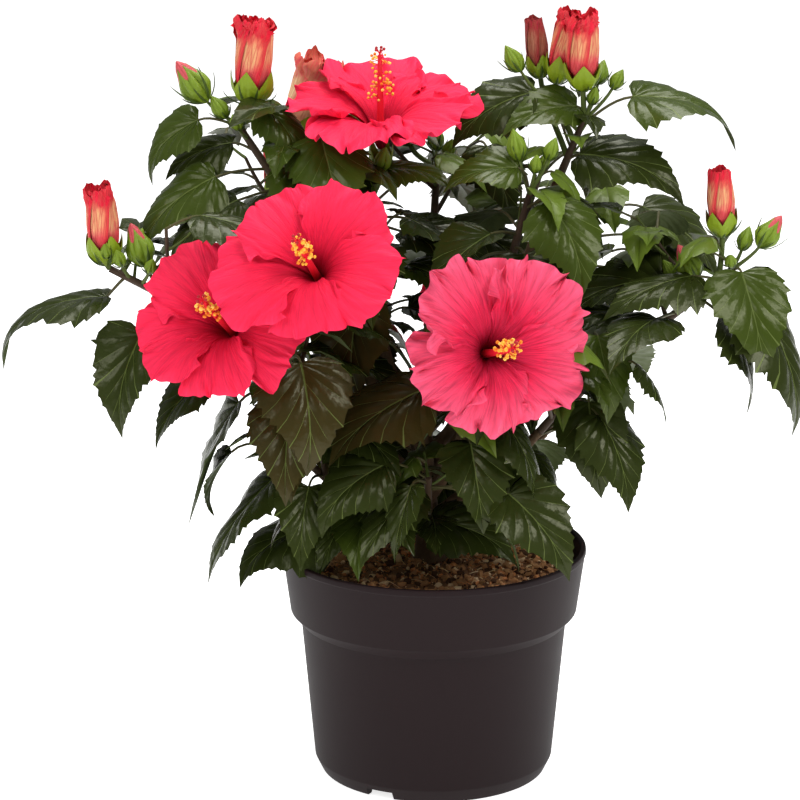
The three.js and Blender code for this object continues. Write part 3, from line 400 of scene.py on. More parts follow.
# Lengths are in millimetres and angles in degrees. A bough leaves the trunk at the height foot and
# ends at tip, where its mass of leaves begins; the mass's stem runs on to end. count leaves grow on
# the stem and twigs side twigs on it by the seeded rule. Each leaf of the crown's outline is written
# (place along the stem, azimuth, petiole, petiole's rise, blade, blade's pitch), and one that has
# grown on also with how far its tip hangs and how far it rolls over. shed are leaves and lost are
# twigs that have dropped off. A bud is written (place along the stem, azimuth, rise, stalk, bud).
masses = [
    {"name": "left", "foot": 181, "tip": (-148, -33, 304), "end": (-196, -30, 328),
     "twigs": 2, "count": 5,
     "outline": [(0.8, -176, 17, -46, 87, -18, 32, 6), (0.1, -141, 32, -25, 66, -68, 4, -26)],
     "shed": [5003, 5011, 20012, 20042, 20047], "lost": [1],
     "buds": [(0.35, 160, 60, 20, 28), (0.85, 60, 40, 18, 17), (0.75, -120, 50, 13, 13),
              (0.6, -60, 44, 14, 12), (1, -100, 50, 12, 11)]},
    {"name": "upper_left", "foot": 203, "tip": (-92, 4, 368), "end": (-119, 9, 408),
     "twigs": 1, "count": 4,
     "outline": [(0.05, -150, 30, -8, 60, -32, 8, -25), (0.35, -162, 33, -5, 70, -38, 8, -46),
                 (0.6, 172, 16, 20, 50, -26, 5, -30), (0.35, -52, 22, 10, 58, -48),
                 (1, 176, 25, 8, 54, -42, 15, -35), (1, -28, 22, 40, 48, -48, 6, 8)],
     "shed": [5100, 5103, 20712], "lost": [0],
     "buds": [(1, 176, 38, 25, 31), (0.95, 178, 40, 12, 17), (0.8, -120, 40, 13, 13),
              (0.75, 120, 45, 14, 12), (1, 0, 30, 14, 11)]},
    {"name": "top", "foot": 224, "tip": (-37, 10, 330), "end": (-38, 9, 364),
     "twigs": 1, "count": 4,
     "outline": [(0.7, -150, 26, -4, 62, -34), (0.6, -28, 26, 4, 62, -34),
                 (0.5, -12, 18, -12, 66, -16, 8, 25), (0.25, -95, 22, 0, 58, -50),
                 (1, -20, 20, 68, 50, -8, 0, 20), (0.05, -112, 36, -50, 70, -72, 0, 6)], "shed": [4044],
     "buds": [(1, -60, 60, 22, 17)]},
    {"name": "upper_right", "foot": 215, "tip": (76, 16, 374), "end": (91, 14, 411),
     "twigs": 1, "count": 3,
     "outline": [(0.9, -8, 36, 31, 78, -13, 27, 23), (0.3, -25, 10, 27, 76, -14, 14, 30),
                 (0.8, -125, 24, 30, 58, -14), (0.5, 178, 42, 56, 62, -30, 10, -40),
                 (1, -155, 10, 60, 56, -12, 10, -35)], "shed": [5311, 5312], "lost": [0],
     "buds": [(0.95, 0, 50, 28, 14), (0.85, -30, 66, 18, 12), (0.8, 178, 46, 52, 19),
              (1, 40, 62, 24, 16)]},
    {"name": "centre_right", "foot": 199, "tip": (46, -19, 330), "end": (57, -21, 372),
     "twigs": 1, "count": 3,
     "outline": [(1, -170, 18, 66, 50, -12, 8, -35), (0.8, -50, 24, 14, 62, -56, 0, 8),
                 (0.4, -150, 22, 8, 60, -34), (0.2, -75, 20, 0, 62, -58)],
     "buds": [(1, 160, 72, 22, 20), (1, 10, 62, 24, 15), (1, -60, 70, 16, 12), (1, 60, 40, 20, 12)]},
    {"name": "right", "foot": 180, "tip": (128, -22, 284), "end": (180, -21, 325),
     "twigs": 2, "count": 4,
     "outline": [(1, -74, 16, 8, 67, -60, 0, 6), (1, -41, 31, -42, 84, -66, 4, -4),
                 (0.6, -36, 23, -30, 62, -64, 4, -22), (0.15, 176, 18, 22, 66, -6),
                 (0.65, 170, 24, 18, 80, -20, 6, -38)], "shed": [4108, 23587],
     "buds": [(1, 0, 42, 22, 24), (0.7, 178, 50, 10, 24), (0.6, 170, 40, 18, 14), (1, 30, 60, 14, 16),
              (1, -100, 30, 10, 12)]},
    {"name": "front_left", "foot": 165, "tip": (-78, -34, 248), "end": (-92, -44, 272),
     "twigs": 1, "count": 3,
     "outline": [(0.9, -72, 36, 18, 72, -64), (0.3, -98, 30, 0, 66, -62, 0, 4),
                 (0.5, -166, 36, -18, 84, -72, -34, 5), (0.1, -98, 26, -8, 58, -58),
                 (1, -176, 48, -10, 54, -52, 3, -30)], "buds": []},
    {"name": "front_right", "foot": 170, "tip": (16, -36, 226), "end": (19, -48, 252),
     "twigs": 1, "count": 3,
     "outline": [(0.8, -158, 30, 24, 76, -32, 5, -40), (0.35, -42, 34, 10, 58, -58),
                 (0.15, -80, 28, -4, 58, -60)], "buds": []},
    {"name": "low_right", "foot": 158, "tip": (64, -30, 226), "end": (92, -38, 262),
     "twigs": 2, "count": 3,
     "outline": [(1, -84, 16, -52, 62, -71, 4, 24), (0.6, -48, 27, -10, 63, -60, 0, 4),
                 (1, -70, 34, 62, 56, -68, 0, 8), (0.9, -35, 44, 22, 40, -58, 0, -25)],
     "shed": [5800, 5802, 4162, 4165, 4167], "buds": []},
    {"name": "low_left", "foot": 149, "tip": (-58, -28, 188), "end": (-92, -38, 222),
     "twigs": 2, "count": 3,
     "outline": [(0.95, -170, 34, -6, 46, -66, 5, 0), (0.45, -157, 27, -8, 78, -54, -10, 8),
                 (0.1, -167, 25, -76, 70, -24, 4, -14), (0.3, -104, 32, 4, 54, -58)], "shed": [5921],
     "buds": []},
    {"name": "low_front", "foot": 144, "tip": (-4, -34, 178), "end": (-4, -60, 206),
     "twigs": 1, "count": 2,
     "outline": [(0.95, -160, 30, 22, 62, -36, 5, -30), (0.8, -118, 22, 10, 50, -68, 0, 12),
                 (0.7, -38, 24, -4, 60, -46), (0.1, -20, 10, -75, 62, -16, 0, 30),
                 (0.6, -31, 56, 6, 66, -48, 0, 30)], "buds": []},
    {"name": "low_back_left", "foot": 156, "tip": (-68, 44, 206), "end": (-104, 62, 240),
     "twigs": 2, "count": 5, "outline": [], "shed": [6101], "buds": []},
    {"name": "low_back_right", "foot": 152, "tip": (70, 46, 204), "end": (106, 62, 240),
     "twigs": 2, "count": 5, "outline": [], "shed": [6203, 6222, 4245, 4247], "buds": []},
    {"name": "low_back", "foot": 146, "tip": (-6, 64, 194), "end": (-6, 98, 228),
     "twigs": 2, "count": 5,
     "outline": [(0, -66, 12, 0, 64, -56, 0, 0), (0.1, -112, 12, 6, 64, -52, 0, 0)], "buds": []},
    {"name": "back_left", "foot": 194, "tip": (-72, 68, 300), "end": (-96, 92, 338),
     "twigs": 2, "count": 4,
     "outline": [(0.85, 176, 30, 10, 70, -30)], "shed": [6412, 6422],
     "buds": [(0.85, 120, 50, 18, 16), (0.85, 30, 60, 14, 14)]},
    {"name": "back_right", "foot": 186, "tip": (78, 72, 300), "end": (108, 94, 342),
     "twigs": 2, "count": 5,
     "outline": [(0.9, -24, 30, 10, 70, -36, 8, 22), (0.5, -10, 40, 6, 70, -26, 8, 28),
                 (0.15, 8, 44, -6, 56, -20, 8, 28)], "shed": [6502], "lost": [1],
     "buds": [(1, 60, 50, 18, 16), (1, 160, 60, 14, 14)]},
    {"name": "back_top", "foot": 217, "tip": (0, 66, 330), "end": (2, 88, 366),
     "twigs": 2, "count": 5,
     "outline": [(0, -10, 24, 4, 58, -36, 0, 25)], "shed": [6600],
     "buds": [(0.9, 90, 50, 18, 18), (0.9, -30, 60, 14, 14)]},
]
trunk_foot = np.array([-3, 6, 133.3])
trunk_top = np.array([-7, 8, 226])


def bent(start, start_way, end, end_way):
    """A curve from start to end that leaves and arrives in the ways given: its four control points."""
    third = np.linalg.norm(end - start) / 3
    return np.array([start, start + start_way * third, end - end_way * third, end])


def curve_points(curve, t):
    """The points of a curve at values of t from 0 to 1, which aren't spaced evenly along it."""
    return (curve[0] * (1 - t) ** 3 + curve[1] * 3 * t * (1 - t) ** 2
            + curve[2] * 3 * t ** 2 * (1 - t) + curve[3] * t ** 3)


def on_curve(curve, shares):
    """The points of a curve at shares of its length."""
    t = np.linspace(0, 1, 201)[:, None]
    steps = np.linalg.norm(np.diff(curve_points(curve, t), axis=0), axis=1)
    lengths = np.concatenate([[0], np.cumsum(steps)])
    at = np.interp(np.atleast_1d(shares) * lengths[-1], lengths, t[:, 0])
    points = curve_points(curve, at[:, None])
    return points[0] if np.isscalar(shares) else points


def heading(azimuth, rise):
    """The way that points to an azimuth and rises above the horizon, both in degrees."""
    a = math.radians(azimuth)
    r = math.radians(rise)
    return np.array([math.cos(a) * math.cos(r), math.sin(a) * math.cos(r), math.sin(r)])


def unit(way):
    """The same way with the length 1."""
    return way / np.linalg.norm(way)


def add_limb(curve, radii):
    """A tapering limb along a curve, in millimetres, as a mesh with round ends."""
    bpy.ops.object.select_all(action="DESELECT")
    bpy.ops.curve.primitive_bezier_curve_add(location=(0, 0, 0))
    limb = bpy.context.object
    limb.data.dimensions = "3D"
    limb.data.resolution_u = 14
    limb.data.bevel_depth = 0.001
    limb.data.bevel_resolution = 4
    limb.data.use_fill_caps = True
    points = limb.data.splines[0].bezier_points
    for point, place, left, right, radius in (
            (points[0], curve[0], curve[0] * 2 - curve[1], curve[1], radii[0]),
            (points[1], curve[3], curve[2], curve[3] * 2 - curve[2], radii[1])):
        point.handle_left_type = "FREE"
        point.handle_right_type = "FREE"
        point.co = place * 0.001
        point.handle_left = left * 0.001
        point.handle_right = right * 0.001
        point.radius = radius
    bpy.ops.object.convert(target="MESH")
    return bpy.context.object


upwards = unit(trunk_top - trunk_foot)
limbs = [add_limb(bent(trunk_foot, upwards, trunk_top, upwards), (8, 5.2))]
for mass in masses:
    share = (mass["foot"] - trunk_foot[2]) / (trunk_top[2] - trunk_foot[2])
    foot = trunk_foot + (trunk_top - trunk_foot) * share
    tip = np.array(mass["tip"])
    end = np.array(mass["end"])
    mass["onward"] = unit(end - tip)
    out = math.degrees(math.atan2(tip[1] - foot[1], tip[0] - foot[0]))
    curve = bent(foot, heading(out, 42), tip, mass["onward"])
    mass["bough"] = curve
    limbs.append(add_limb(curve, (4.1, 2.8)))
    start = tip + mass["onward"] * 0.3
    mass["stem"] = bent(start, mass["onward"], end, mass["onward"])
    mass["lines"] = [mass["stem"]]
pick(*limbs)
bpy.ops.object.join()
trunk = bpy.context.object
trunk.name = "trunk_with_boughs"
for corner in trunk.data.vertices:
    height = (corner.co.z - 0.1333) * 1000
    if height < 16:
        middle = Vector((-0.003, 0.006, 0))
        out = Vector((corner.co.x, corner.co.y, 0)) - middle
        azimuth = math.atan2(out.y, out.x)
        flare = max(0, 1 - height / 14) ** 2
        widened = 1 + flare * (0.4 + 0.16 * math.cos(5 * azimuth + 1))
        corner.co.x = middle.x + out.x * widened
        corner.co.y = middle.y + out.y * widened
bpy.ops.object.mode_set(mode="EDIT")
bpy.ops.mesh.select_all(action="SELECT")
bpy.ops.mesh.subdivide(number_cuts=1)
bpy.ops.object.mode_set(mode="OBJECT")
roughen(trunk, 0.012, 0.0011, 2)
roughen(trunk, 0.0028, 0.0007, 2)
bpy.ops.object.shade_smooth()
bark, shader = plain_finish("grey_brown_bark", (0.11, 0.066, 0.034), 0.8)
add_grain(bark, shader, 700, 0.0006)
trunk.data.materials.clear()
trunk.data.materials.append(bark)
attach(trunk, "root")
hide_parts("trunk", *["bough_" + mass["name"] for mass in masses])


# Twigs: a green stem runs on from each bough through its mass of leaves and gives off side twigs
# by the seeded rule, and short twiglets of soft young wood grow on these.
def seeded(*keys):
    """The same number from 0 to 1 for the same keys."""
    seed = 20261
    for key in keys:
        seed = ((seed ^ key) * 0x9E3779B1) & 0xFFFFFFFF
        seed ^= seed >> 15
    seed = (seed * 0x85EBCA6B) & 0xFFFFFFFF
    seed ^= seed >> 13
    return seed / 2 ** 32


def between(low, high, *keys):
    """The same number from low to high for the same keys."""
    return low + (high - low) * seeded(*keys)


def surface_of(node):
    """A CAD node's surface in millimetres, for measuring how far off a point is."""
    corners = [corner.co * 1000 for corner in node.data.vertices]
    return BVHTree.FromPolygons(corners, [face.vertices[:] for face in node.data.polygons])


def lies_on(surface, points, within):
    """How many of the points lie within that distance of the surface."""
    return sum(surface.find_nearest(Vector(point), within)[0] is not None for point in points)


up = np.array([0, 0, 1.0])
leaf_turns = (0, 28, -28, 56, -56, 84)
twigs = new_heap()
for index, mass in enumerate(masses):
    mass["index"] = index
    mass["surface"] = surface_of(nodes["foliage_" + mass["name"]])
    add_tube(twigs, on_curve(mass["stem"], np.linspace(0, 1, 9)), np.linspace(2.75, 2.05, 9), 10, 0)
    for t in range(mass["twigs"]):
        if t in mass.get("lost", ()):
            continue
        root = on_curve(mass["stem"], (t + 0.6) / (mass["twigs"] + 0.4))
        length = between(34, 58, index, 8, t)
        for attempt in leaf_turns:
            turn = 360 * seeded(index, 7, t) + 137.5 * t + attempt * 2
            spin = np.array(Matrix.Rotation(math.radians(turn), 3, "Z"))
            way = unit((spin @ mass["onward"]) * 0.42 + heading(turn, 20) * 0.58)
            end = root + way * length + up * length * 0.2
            twig = bent(root, way, end, unit(way * 0.6 + up * 0.4))
            if lies_on(mass["surface"], on_curve(twig, np.array([0.3, 0.5, 0.7, 0.9])), 1.75) == 4:
                add_tube(twigs, on_curve(twig, np.linspace(0, 1, 12)), np.linspace(1.6, 1.05, 12), 8, 0)
                mass["lines"].append(twig)
                break


# Leaves: broad, pointed and coarsely toothed, dark green and glossy, with paler veins that sink
# into the quilted blade. A mass's leaves stand round its stem and its twigs on thin petioles, and
# most of them arch over and hang.
def blade_faces(rows, columns):
    """Triangles of a blade for a grid of points: in each cell two above and two on the underside."""
    faces = []
    under = rows * columns
    for row in range(rows - 1):
        for column in range(columns - 1):
            a = row * columns + column
            b = a + 1
            c = a + columns
            d = c + 1
            faces += [(a, c, d), (a, d, b)]
            faces += [(a + under, d + under, c + under), (a + under, b + under, d + under)]
    return np.array(faces)


def blade_corners(grid, thickness):
    """Corners of a thin blade round a grid of points: its rows run along it, its columns across."""
    normal = np.cross(np.gradient(grid, axis=0), np.gradient(grid, axis=1))
    normal /= np.maximum(np.linalg.norm(normal, axis=2, keepdims=True), 0.000001)
    inner = np.ones(grid.shape[:2] + (1,))
    inner[[0, -1]] = 0
    inner[:, [0, -1]] = 0
    half = normal * inner * thickness / 2
    return np.concatenate([(grid + half).reshape(-1, 3), (grid - half).reshape(-1, 3)])


def leaf_pattern(vein_ends, shares, teeth_between):
    """A leaf of length 1 laid flat: how far along, across and up each point lies, and its faces.
    Its rows run out from the midrib to the edge, two of them close together along each vein."""
    rows = [(-0.035, 0.98, 0), (-0.01, 1, 0.5)]
    vein_rows = []
    for i, end in enumerate(vein_ends):
        after = vein_ends[i + 1] if i + 1 < len(vein_ends) else 0.95
        tooth = 1.02 + 0.07 * min(1, end * 2.5)
        vein_rows.append(len(rows))
        rows += [(end - 0.006, tooth - 0.02, 0), (end, tooth, 0), (end + 0.018, 2.02 - tooth, 0.5)]
        if teeth_between:
            middle = (end + after) / 2
            rows += [(middle, 1.03, 1), (middle + 0.014, 0.96, 0.9)]
    rows.append((1, 1, 0))
    ends, teeth, bulges = (np.array(column)[:, None] for column in zip(*rows))
    starts = np.interp(ends, (-0.035, 0.05, 0.24, 0.43, 0.58, 0.72, 0.84, 1),
                       (0, 0.002, 0.008, 0.035, 0.17, 0.37, 0.59, 1))
    halves = np.interp(ends, (-0.035, -0.01, 0.05, 0.13, 0.22, 0.31, 0.42, 0.54, 0.66, 0.77, 0.87, 0.94, 1),
                       (0.14, 0.24, 0.325, 0.375, 0.39, 0.38, 0.335, 0.265, 0.19, 0.12, 0.06, 0.025, 0))
    share = np.array(shares)[None, :]
    side = np.sign(share)
    share = np.abs(share)
    along = starts + (ends - starts) * share ** 0.85
    across = halves * share * (1 + (teeth - 1) * share ** 4)
    rib = share == shares[len(shares) // 2 + 1]
    across = np.where(rib, np.minimum(0.009 * (1 - 0.8 * starts), halves * 0.3), across)
    up = bulges * 0.015 * np.sin(math.pi * np.minimum(share ** 0.75, 1)) * np.minimum(1, halves / 0.2)
    up = up - 0.005 * (share == 0) * (1 - starts) + across * (0.24 - 0.42 * across)
    row = np.repeat(np.arange(len(rows) - 1), 4 * (len(shares) - 1))
    column = np.repeat(np.tile(np.arange(len(shares) - 1), len(rows) - 1), 4)
    is_under = np.tile((False, False, True, True), (len(rows) - 1) * (len(shares) - 1))
    middle = len(shares) // 2
    is_vein = np.isin(row, vein_rows) | (column == middle) | (column == middle - 1)
    return {"along": along, "across": across * side, "up": up, "share": share,
            "faces": blade_faces(len(rows), len(shares)), "is_vein": is_vein, "is_under": is_under}


large_leaf = leaf_pattern((0.05, 0.24, 0.43, 0.58, 0.72, 0.84),
                          (-1, -0.72, -0.38, -0.03, 0, 0.03, 0.38, 0.72, 1), True)
small_leaf = leaf_pattern((0.15, 0.45, 0.7), (-1, -0.5, -0.04, 0, 0.04, 0.5, 1), False)
dark, green, young, bronze, vein, underside = range(6)
petioles = new_heap()


def leaf_grid(pattern, base, azimuth, length, pitch, key, hang=0, roll=0):
    """The points of one leaf. Each is bent down along its length, waved, twisted and toothed in its
    own way. hang is how many degrees more its outer half bends down, and roll turns it about its
    midrib."""
    dice = random.Random(key)
    steps = np.linspace(-0.06, 1.04, 56)
    droop = dice.uniform(5, 34) + hang
    angles = np.radians(pitch + 17 - 34 * steps - droop * np.maximum(0, steps - 0.3) ** 1.6 / 0.57)
    run = np.gradient(steps)
    forward = np.cumsum(np.cos(angles) * run)
    height = np.cumsum(np.sin(angles) * run)
    along = pattern["along"]
    reach = np.interp(along, steps, forward) - np.interp(0, steps, forward)
    rise = np.interp(along, steps, height) - np.interp(0, steps, height)
    angle = np.interp(along, steps, angles)
    sway = dice.uniform(-0.12, 0.12) * along ** 2
    twist = math.radians(dice.uniform(-34, 34)) * along + math.radians(dice.uniform(-10, 10) + roll)
    width = dice.uniform(0.84, 1.08) * (1 + dice.uniform(-0.08, 0.08) * np.sign(pattern["across"]))
    notches = np.array([[dice.uniform(-0.07, 0.05), dice.uniform(-0.07, 0.05)] for row in along])
    notches = np.where(pattern["across"] < 0, notches[:, :1], notches[:, 1:])
    across = pattern["across"] * width * (1 + notches * pattern["share"] ** 3)
    curl = dice.uniform(-0.5, 1.3)
    edge = np.abs(across) / 0.37
    phase = dice.uniform(0, 6)
    wave = dice.uniform(0.015, 0.045) * np.sin(dice.uniform(5, 10) * along + np.sign(across) * phase)
    ruffle = 0.014 * np.sin(dice.uniform(15, 24) * along + phase + np.sign(across))
    up = pattern["up"] - curl * across ** 2 + wave * edge ** 1.5 + ruffle * edge ** 3
    sideways = across * np.cos(twist) - up * np.sin(twist) + sway
    upward = up * np.cos(twist) + across * np.sin(twist)
    flat = heading(azimuth, 0)
    side = np.array([-flat[1], flat[0], 0])
    reach = reach - np.sin(angle) * upward
    rise = rise + np.cos(angle) * upward
    points = flat * reach[..., None] + side * sideways[..., None]
    points[..., 2] += rise
    return base + points * length


def add_leaf(heap, pattern, root, azimuth, stalk, rise, length, pitch, tone, key, hang=0, roll=0):
    """One leaf with its petiole."""
    base = root + heading(azimuth, rise) * stalk
    grid = leaf_grid(pattern, base, azimuth, length, pitch, key, hang, roll)
    finish = np.where(pattern["is_under"], underside, np.where(pattern["is_vein"], vein, tone))
    lay(heap, blade_corners(grid, 0.45), pattern["faces"], finish)
    petiole = bent(root, heading(azimuth, rise + 8), base, heading(azimuth, min(rise, pitch + 20)))
    thick = 0.75 + length * 0.004
    add_tube(petioles, on_curve(petiole, np.linspace(0, 1, 8)), np.linspace(thick, thick * 0.8, 8), 6, 0)


def kept_turn(mass, root, turns, stalk, rise, length, pitch):
    """The azimuth at which the CAD model kept this leaf: its tip and edges lie on the mass's surface."""
    bend = math.radians(34)
    start = math.radians(pitch) + bend / 2
    for azimuth in turns:
        base = root + heading(azimuth, rise) * stalk
        side = np.array([-math.sin(math.radians(azimuth)), math.cos(math.radians(azimuth)), 0])

        def midrib(a):
            chord = 2 * math.sin(bend * a / 2) / bend
            return base + heading(azimuth, math.degrees(start - bend * a / 2)) * length * chord

        spots = [midrib(1)]
        for at, half in ((0.1, 0.37), (0.56, 0.28)):
            normal = np.cross(heading(azimuth, math.degrees(start - bend * at)), side)
            for across in (-1, 1):
                spots.append(midrib(at) + side * across * half * length * math.cos(math.radians(14))
                             + normal * half * length * math.sin(math.radians(14)))
        if lies_on(mass["surface"], spots, 0.15) >= 4:
            return azimuth
    return None


# The tones of single leaves of the outline, whose number is a hundred for each mass before theirs
# and one for each leaf before them.
# The leaves of the three low masses, 800 to 1004, take the dark tone partly as painted shade, for the shade
# that falls on the low crown.
dark_and_shaded_leaves = (301, 303, 501, 502, 701, 702, 800, 801, 900,
               901, 902, 903, 1000, 1001, 1002, 1003, 1004)
green_leaves = (101, 104, 204, 304, 400, 401, 500)
bronze_leaves = (205, 600, 601, 603, 700)
leaf_tones = {key: dark for key in dark_and_shaded_leaves}
leaf_tones.update({key: green for key in green_leaves})
leaf_tones.update({key: bronze for key in bronze_leaves})
for mass in masses:
    mass["leaves"] = new_heap()
    for i, (at, azimuth, stalk, rise, length, pitch, *bearing) in enumerate(mass["outline"]):
        root = on_curve(mass["stem"], at)
        if not bearing:
            turns = [azimuth + turn for turn in (0, 8, -8, 16, -16, 24)]
            azimuth = kept_turn(mass, root, turns, stalk, rise, length, pitch)
            if azimuth is None:
                continue
        key = i + 100 * mass["index"]
        tone = leaf_tones.get(key, random.Random(key).choice((dark, dark, green)))
        add_leaf(mass["leaves"], large_leaf, root, azimuth, stalk, rise, length, pitch, tone, key, *bearing)
    for which, line in enumerate(mass["lines"]):
        total = mass["count"] if which == 0 else 3
        for k in range(total):
            root = on_curve(line, (k + 0.4) / total if which == 0 else (k + 1) / total)
            first = 360 * seeded(mass["index"], 11, which) + 137.5 * k
            keys = (mass["index"], which, k)
            length = between(48, 72, *keys, 1)
            stalk = between(20, 34, *keys, 2)
            rise = between(0, 34, *keys, 3)
            pitch = between(-52, -12, *keys, 4)
            turns = [first + turn for turn in leaf_turns]
            azimuth = kept_turn(mass, root, turns, stalk, rise, length, pitch)
            if azimuth is None:
                continue
            key = 5000 + 100 * mass["index"] + 10 * which + k
            if key in mass.get("shed", ()):
                continue
            tone = random.Random(key).choice((dark, dark, dark, green, green, bronze))
            add_leaf(mass["leaves"], large_leaf, root, azimuth, stalk, rise, length, pitch, tone, key)

obstacles = []
for name, node in nodes.items():
    low, high = (np.array(corner) * 1000 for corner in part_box(name))
    obstacles.append((low, high, surface_of(node)))
crown_left, crown_right = -255, 212
crown_foot, crown_top = 140, 440


def finds_room(grid, front, back):
    """True where a small leaf stays within the crown and touches nothing that is already there. Its
    place is then taken."""
    if (grid < (crown_left, front, crown_foot)).any() or (grid > (crown_right, back, crown_top)).any():
        return False
    corners = blade_corners(grid, 0.4)
    low = corners.min(axis=0)
    high = corners.max(axis=0)
    near = [surface for a, b, surface in obstacles if (low < b).all() and (high > a).all()]
    own = BVHTree.FromPolygons([Vector(corner) for corner in corners], small_leaf["faces"].tolist())
    if any(own.overlap(surface) for surface in near):
        return False
    obstacles.append((low, high, own))
    return True


# Twiglets, each with up to four small young leaves.
for mass in masses:
    for which, line in enumerate(mass["lines"]):
        for t, at in enumerate((0.35, 0.7, 1.0)):
            dice = random.Random(900 * mass["index"] + 30 * which + t)
            root = on_curve(line, at)
            turn = dice.uniform(0, 360)
            way = unit(heading(turn, dice.uniform(0, 45)) + unit(line[3] - line[0]) * 0.5)
            reach = dice.uniform(12, 26)
            twiglet = bent(root, way, root + way * reach + up * reach * 0.2, unit(way + up * 0.5))
            has_leaves = False
            for k in range(4):
                start = on_curve(twiglet, 0.4 + 0.2 * k)
                azimuth = turn + 137.5 * k + dice.uniform(-20, 20)
                length = dice.uniform(22, 42)
                pitch = dice.uniform(-50, 5)
                stalk = dice.uniform(6, 14)
                base = start + heading(azimuth, 25) * stalk
                key = 20000 + 700 * mass["index"] + 40 * which + 5 * t + k
                if key in mass.get("shed", ()):
                    continue
                if not finds_room(leaf_grid(small_leaf, base, azimuth, length, pitch, key), -145, 180):
                    continue
                tone = dice.choice((dark, green, green, young, young))
                add_leaf(mass["leaves"], small_leaf, start, azimuth, stalk, 25, length, pitch, tone, key)
                has_leaves = True
            if has_leaves:
                add_tube(twigs, on_curve(twiglet, np.linspace(0, 1, 7)), np.linspace(1.1, 0.6, 7), 6, 1)

# Shaded leaves along the outer half of each bough, inside the crown.
for mass in masses:
    for k in range(9):
        key = 4000 + 20 * mass["index"] + k
        dice = random.Random(key)
        root = on_curve(mass["bough"], 0.5 + 0.055 * k)
        length = dice.uniform(34, 60)
        stalk = dice.uniform(12, 30)
        pitch = dice.uniform(-62, -18)
        rise = dice.uniform(-5, 30)
        first = 137.5 * k + dice.uniform(0, 60)
        if key in mass.get("shed", ()):
            continue
        for azimuth in [first + turn for turn in leaf_turns]:
            base = root + heading(azimuth, rise) * stalk
            if finds_room(leaf_grid(small_leaf, base, azimuth, length, pitch, key), -120, 160):
                tone = dice.choice((dark, dark, bronze, green))
                add_leaf(mass["leaves"], large_leaf, root, azimuth, stalk, rise, length, pitch, tone, key)
                break

leaf_finishes = []
# leaf_dark_and_shade is a leaf's own dark green, and on the low masses' leaves it is also painted shade.
for name, colour, roughness in (
        ("leaf_dark_and_shade", (0.021, 0.029, 0.005), 0.26), ("leaf_green", (0.035, 0.053, 0.006), 0.26),
        ("leaf_young", (0.09, 0.135, 0.014), 0.32), ("leaf_bronze", (0.033, 0.025, 0.006), 0.26),
        ("leaf_vein", (0.095, 0.125, 0.03), 0.4), ("leaf_underside", (0.065, 0.085, 0.03), 0.5)):
    finish, shader = plain_finish(name, colour, roughness)
    shader.inputs["Specular IOR Level"].default_value = 0.21
    shader.inputs["Specular Tint"].default_value = (1, 1, 0.72, 1)
    add_grain(finish, shader, 150, 0.0006, 2)
    leaf_finishes.append(finish)
for mass in masses:
    leaves = joined("leaves_" + mass["name"], mass["leaves"], leaf_finishes)
    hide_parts("foliage_" + mass["name"])


# Open flowers: five broad petals each, thin and ruffled, that overlap in a turn and open from a
# dark red throat. The red column of style and stamens stands out of the throat; the orange
# anthers crowd its outer part, and five small red stigmas end it.
def square_to(way):
    """Two directions square to a way: to the right and upwards for one who looks at it."""
    right = unit(np.cross(up, way))
    return right, np.cross(way, right)


def add_ramp(tree, marks, share):
    """A run of colours over a share from 0 to 1. Each mark is written (share, colour)."""
    ramp = add_node(tree, "ValToRGB", {"Fac": share})
    elements = ramp.color_ramp.elements
    for element, (position, colour) in zip(elements, (marks[0], marks[-1])):
        element.position = position
        element.color = (*colour, 1)
    for position, colour in marks[1:-1]:
        elements.new(position).color = (*colour, 1)
    return ramp.outputs["Color"]


def petal_lie(tree, stretch):
    """How far across a petal, X, and along it, Y, each point lies, and the same place stretched."""
    place = add_node(tree, "UVMap", {}, uv_map="across_and_along").outputs["UV"]
    parts = add_node(tree, "SeparateXYZ", {"Vector": place})
    stretched = add_node(tree, "Mapping", {"Scale": stretch, "Vector": place})
    return parts.outputs, stretched.outputs["Vector"]


def petal_finish(name, throat, red, rim, streak, grain):
    """Petal colours laid along the petal from throat to rim, with fine darker streaks along it."""
    finish, shader = plain_finish(name, red, 0.6)
    shader.inputs["Specular IOR Level"].default_value = 0.12
    shader.inputs["Subsurface Weight"].default_value = 0.12
    shader.inputs["Subsurface Radius"].default_value = (0.004, 0.001, 0.001)
    tree = finish.node_tree
    lie, stretched = petal_lie(tree, (16, 0.8, 1))
    marks = [(0.08, throat)]
    for position, share in ((0.17, 0.3), (0.28, 0.75), (0.5, 1)):
        marks.append((position, [a + (b - a) * share for a, b in zip(throat, red)]))
    colour = add_ramp(tree, marks + [(1, rim)], lie["Y"])
    streaks = add_node(tree, "TexNoise", {"Scale": 3, "Detail": 6, "Roughness": 0.62, "Vector": stretched})
    shade = add_node(tree, "MapRange", {"From Min": 0.35, "From Max": 0.65, "To Min": streak,
                                        "To Max": 1.08, "Value": streaks.outputs["Fac"]})
    tint = add_node(tree, "VectorMath", {"Vector": colour, "Scale": shade.outputs["Result"]},
                    operation="SCALE")
    tree.links.new(tint.outputs["Vector"], shader.inputs["Base Color"])
    add_relief(tree, shader, streaks.outputs["Fac"], grain)
    return finish


petal_rows, petal_columns = 40, 81


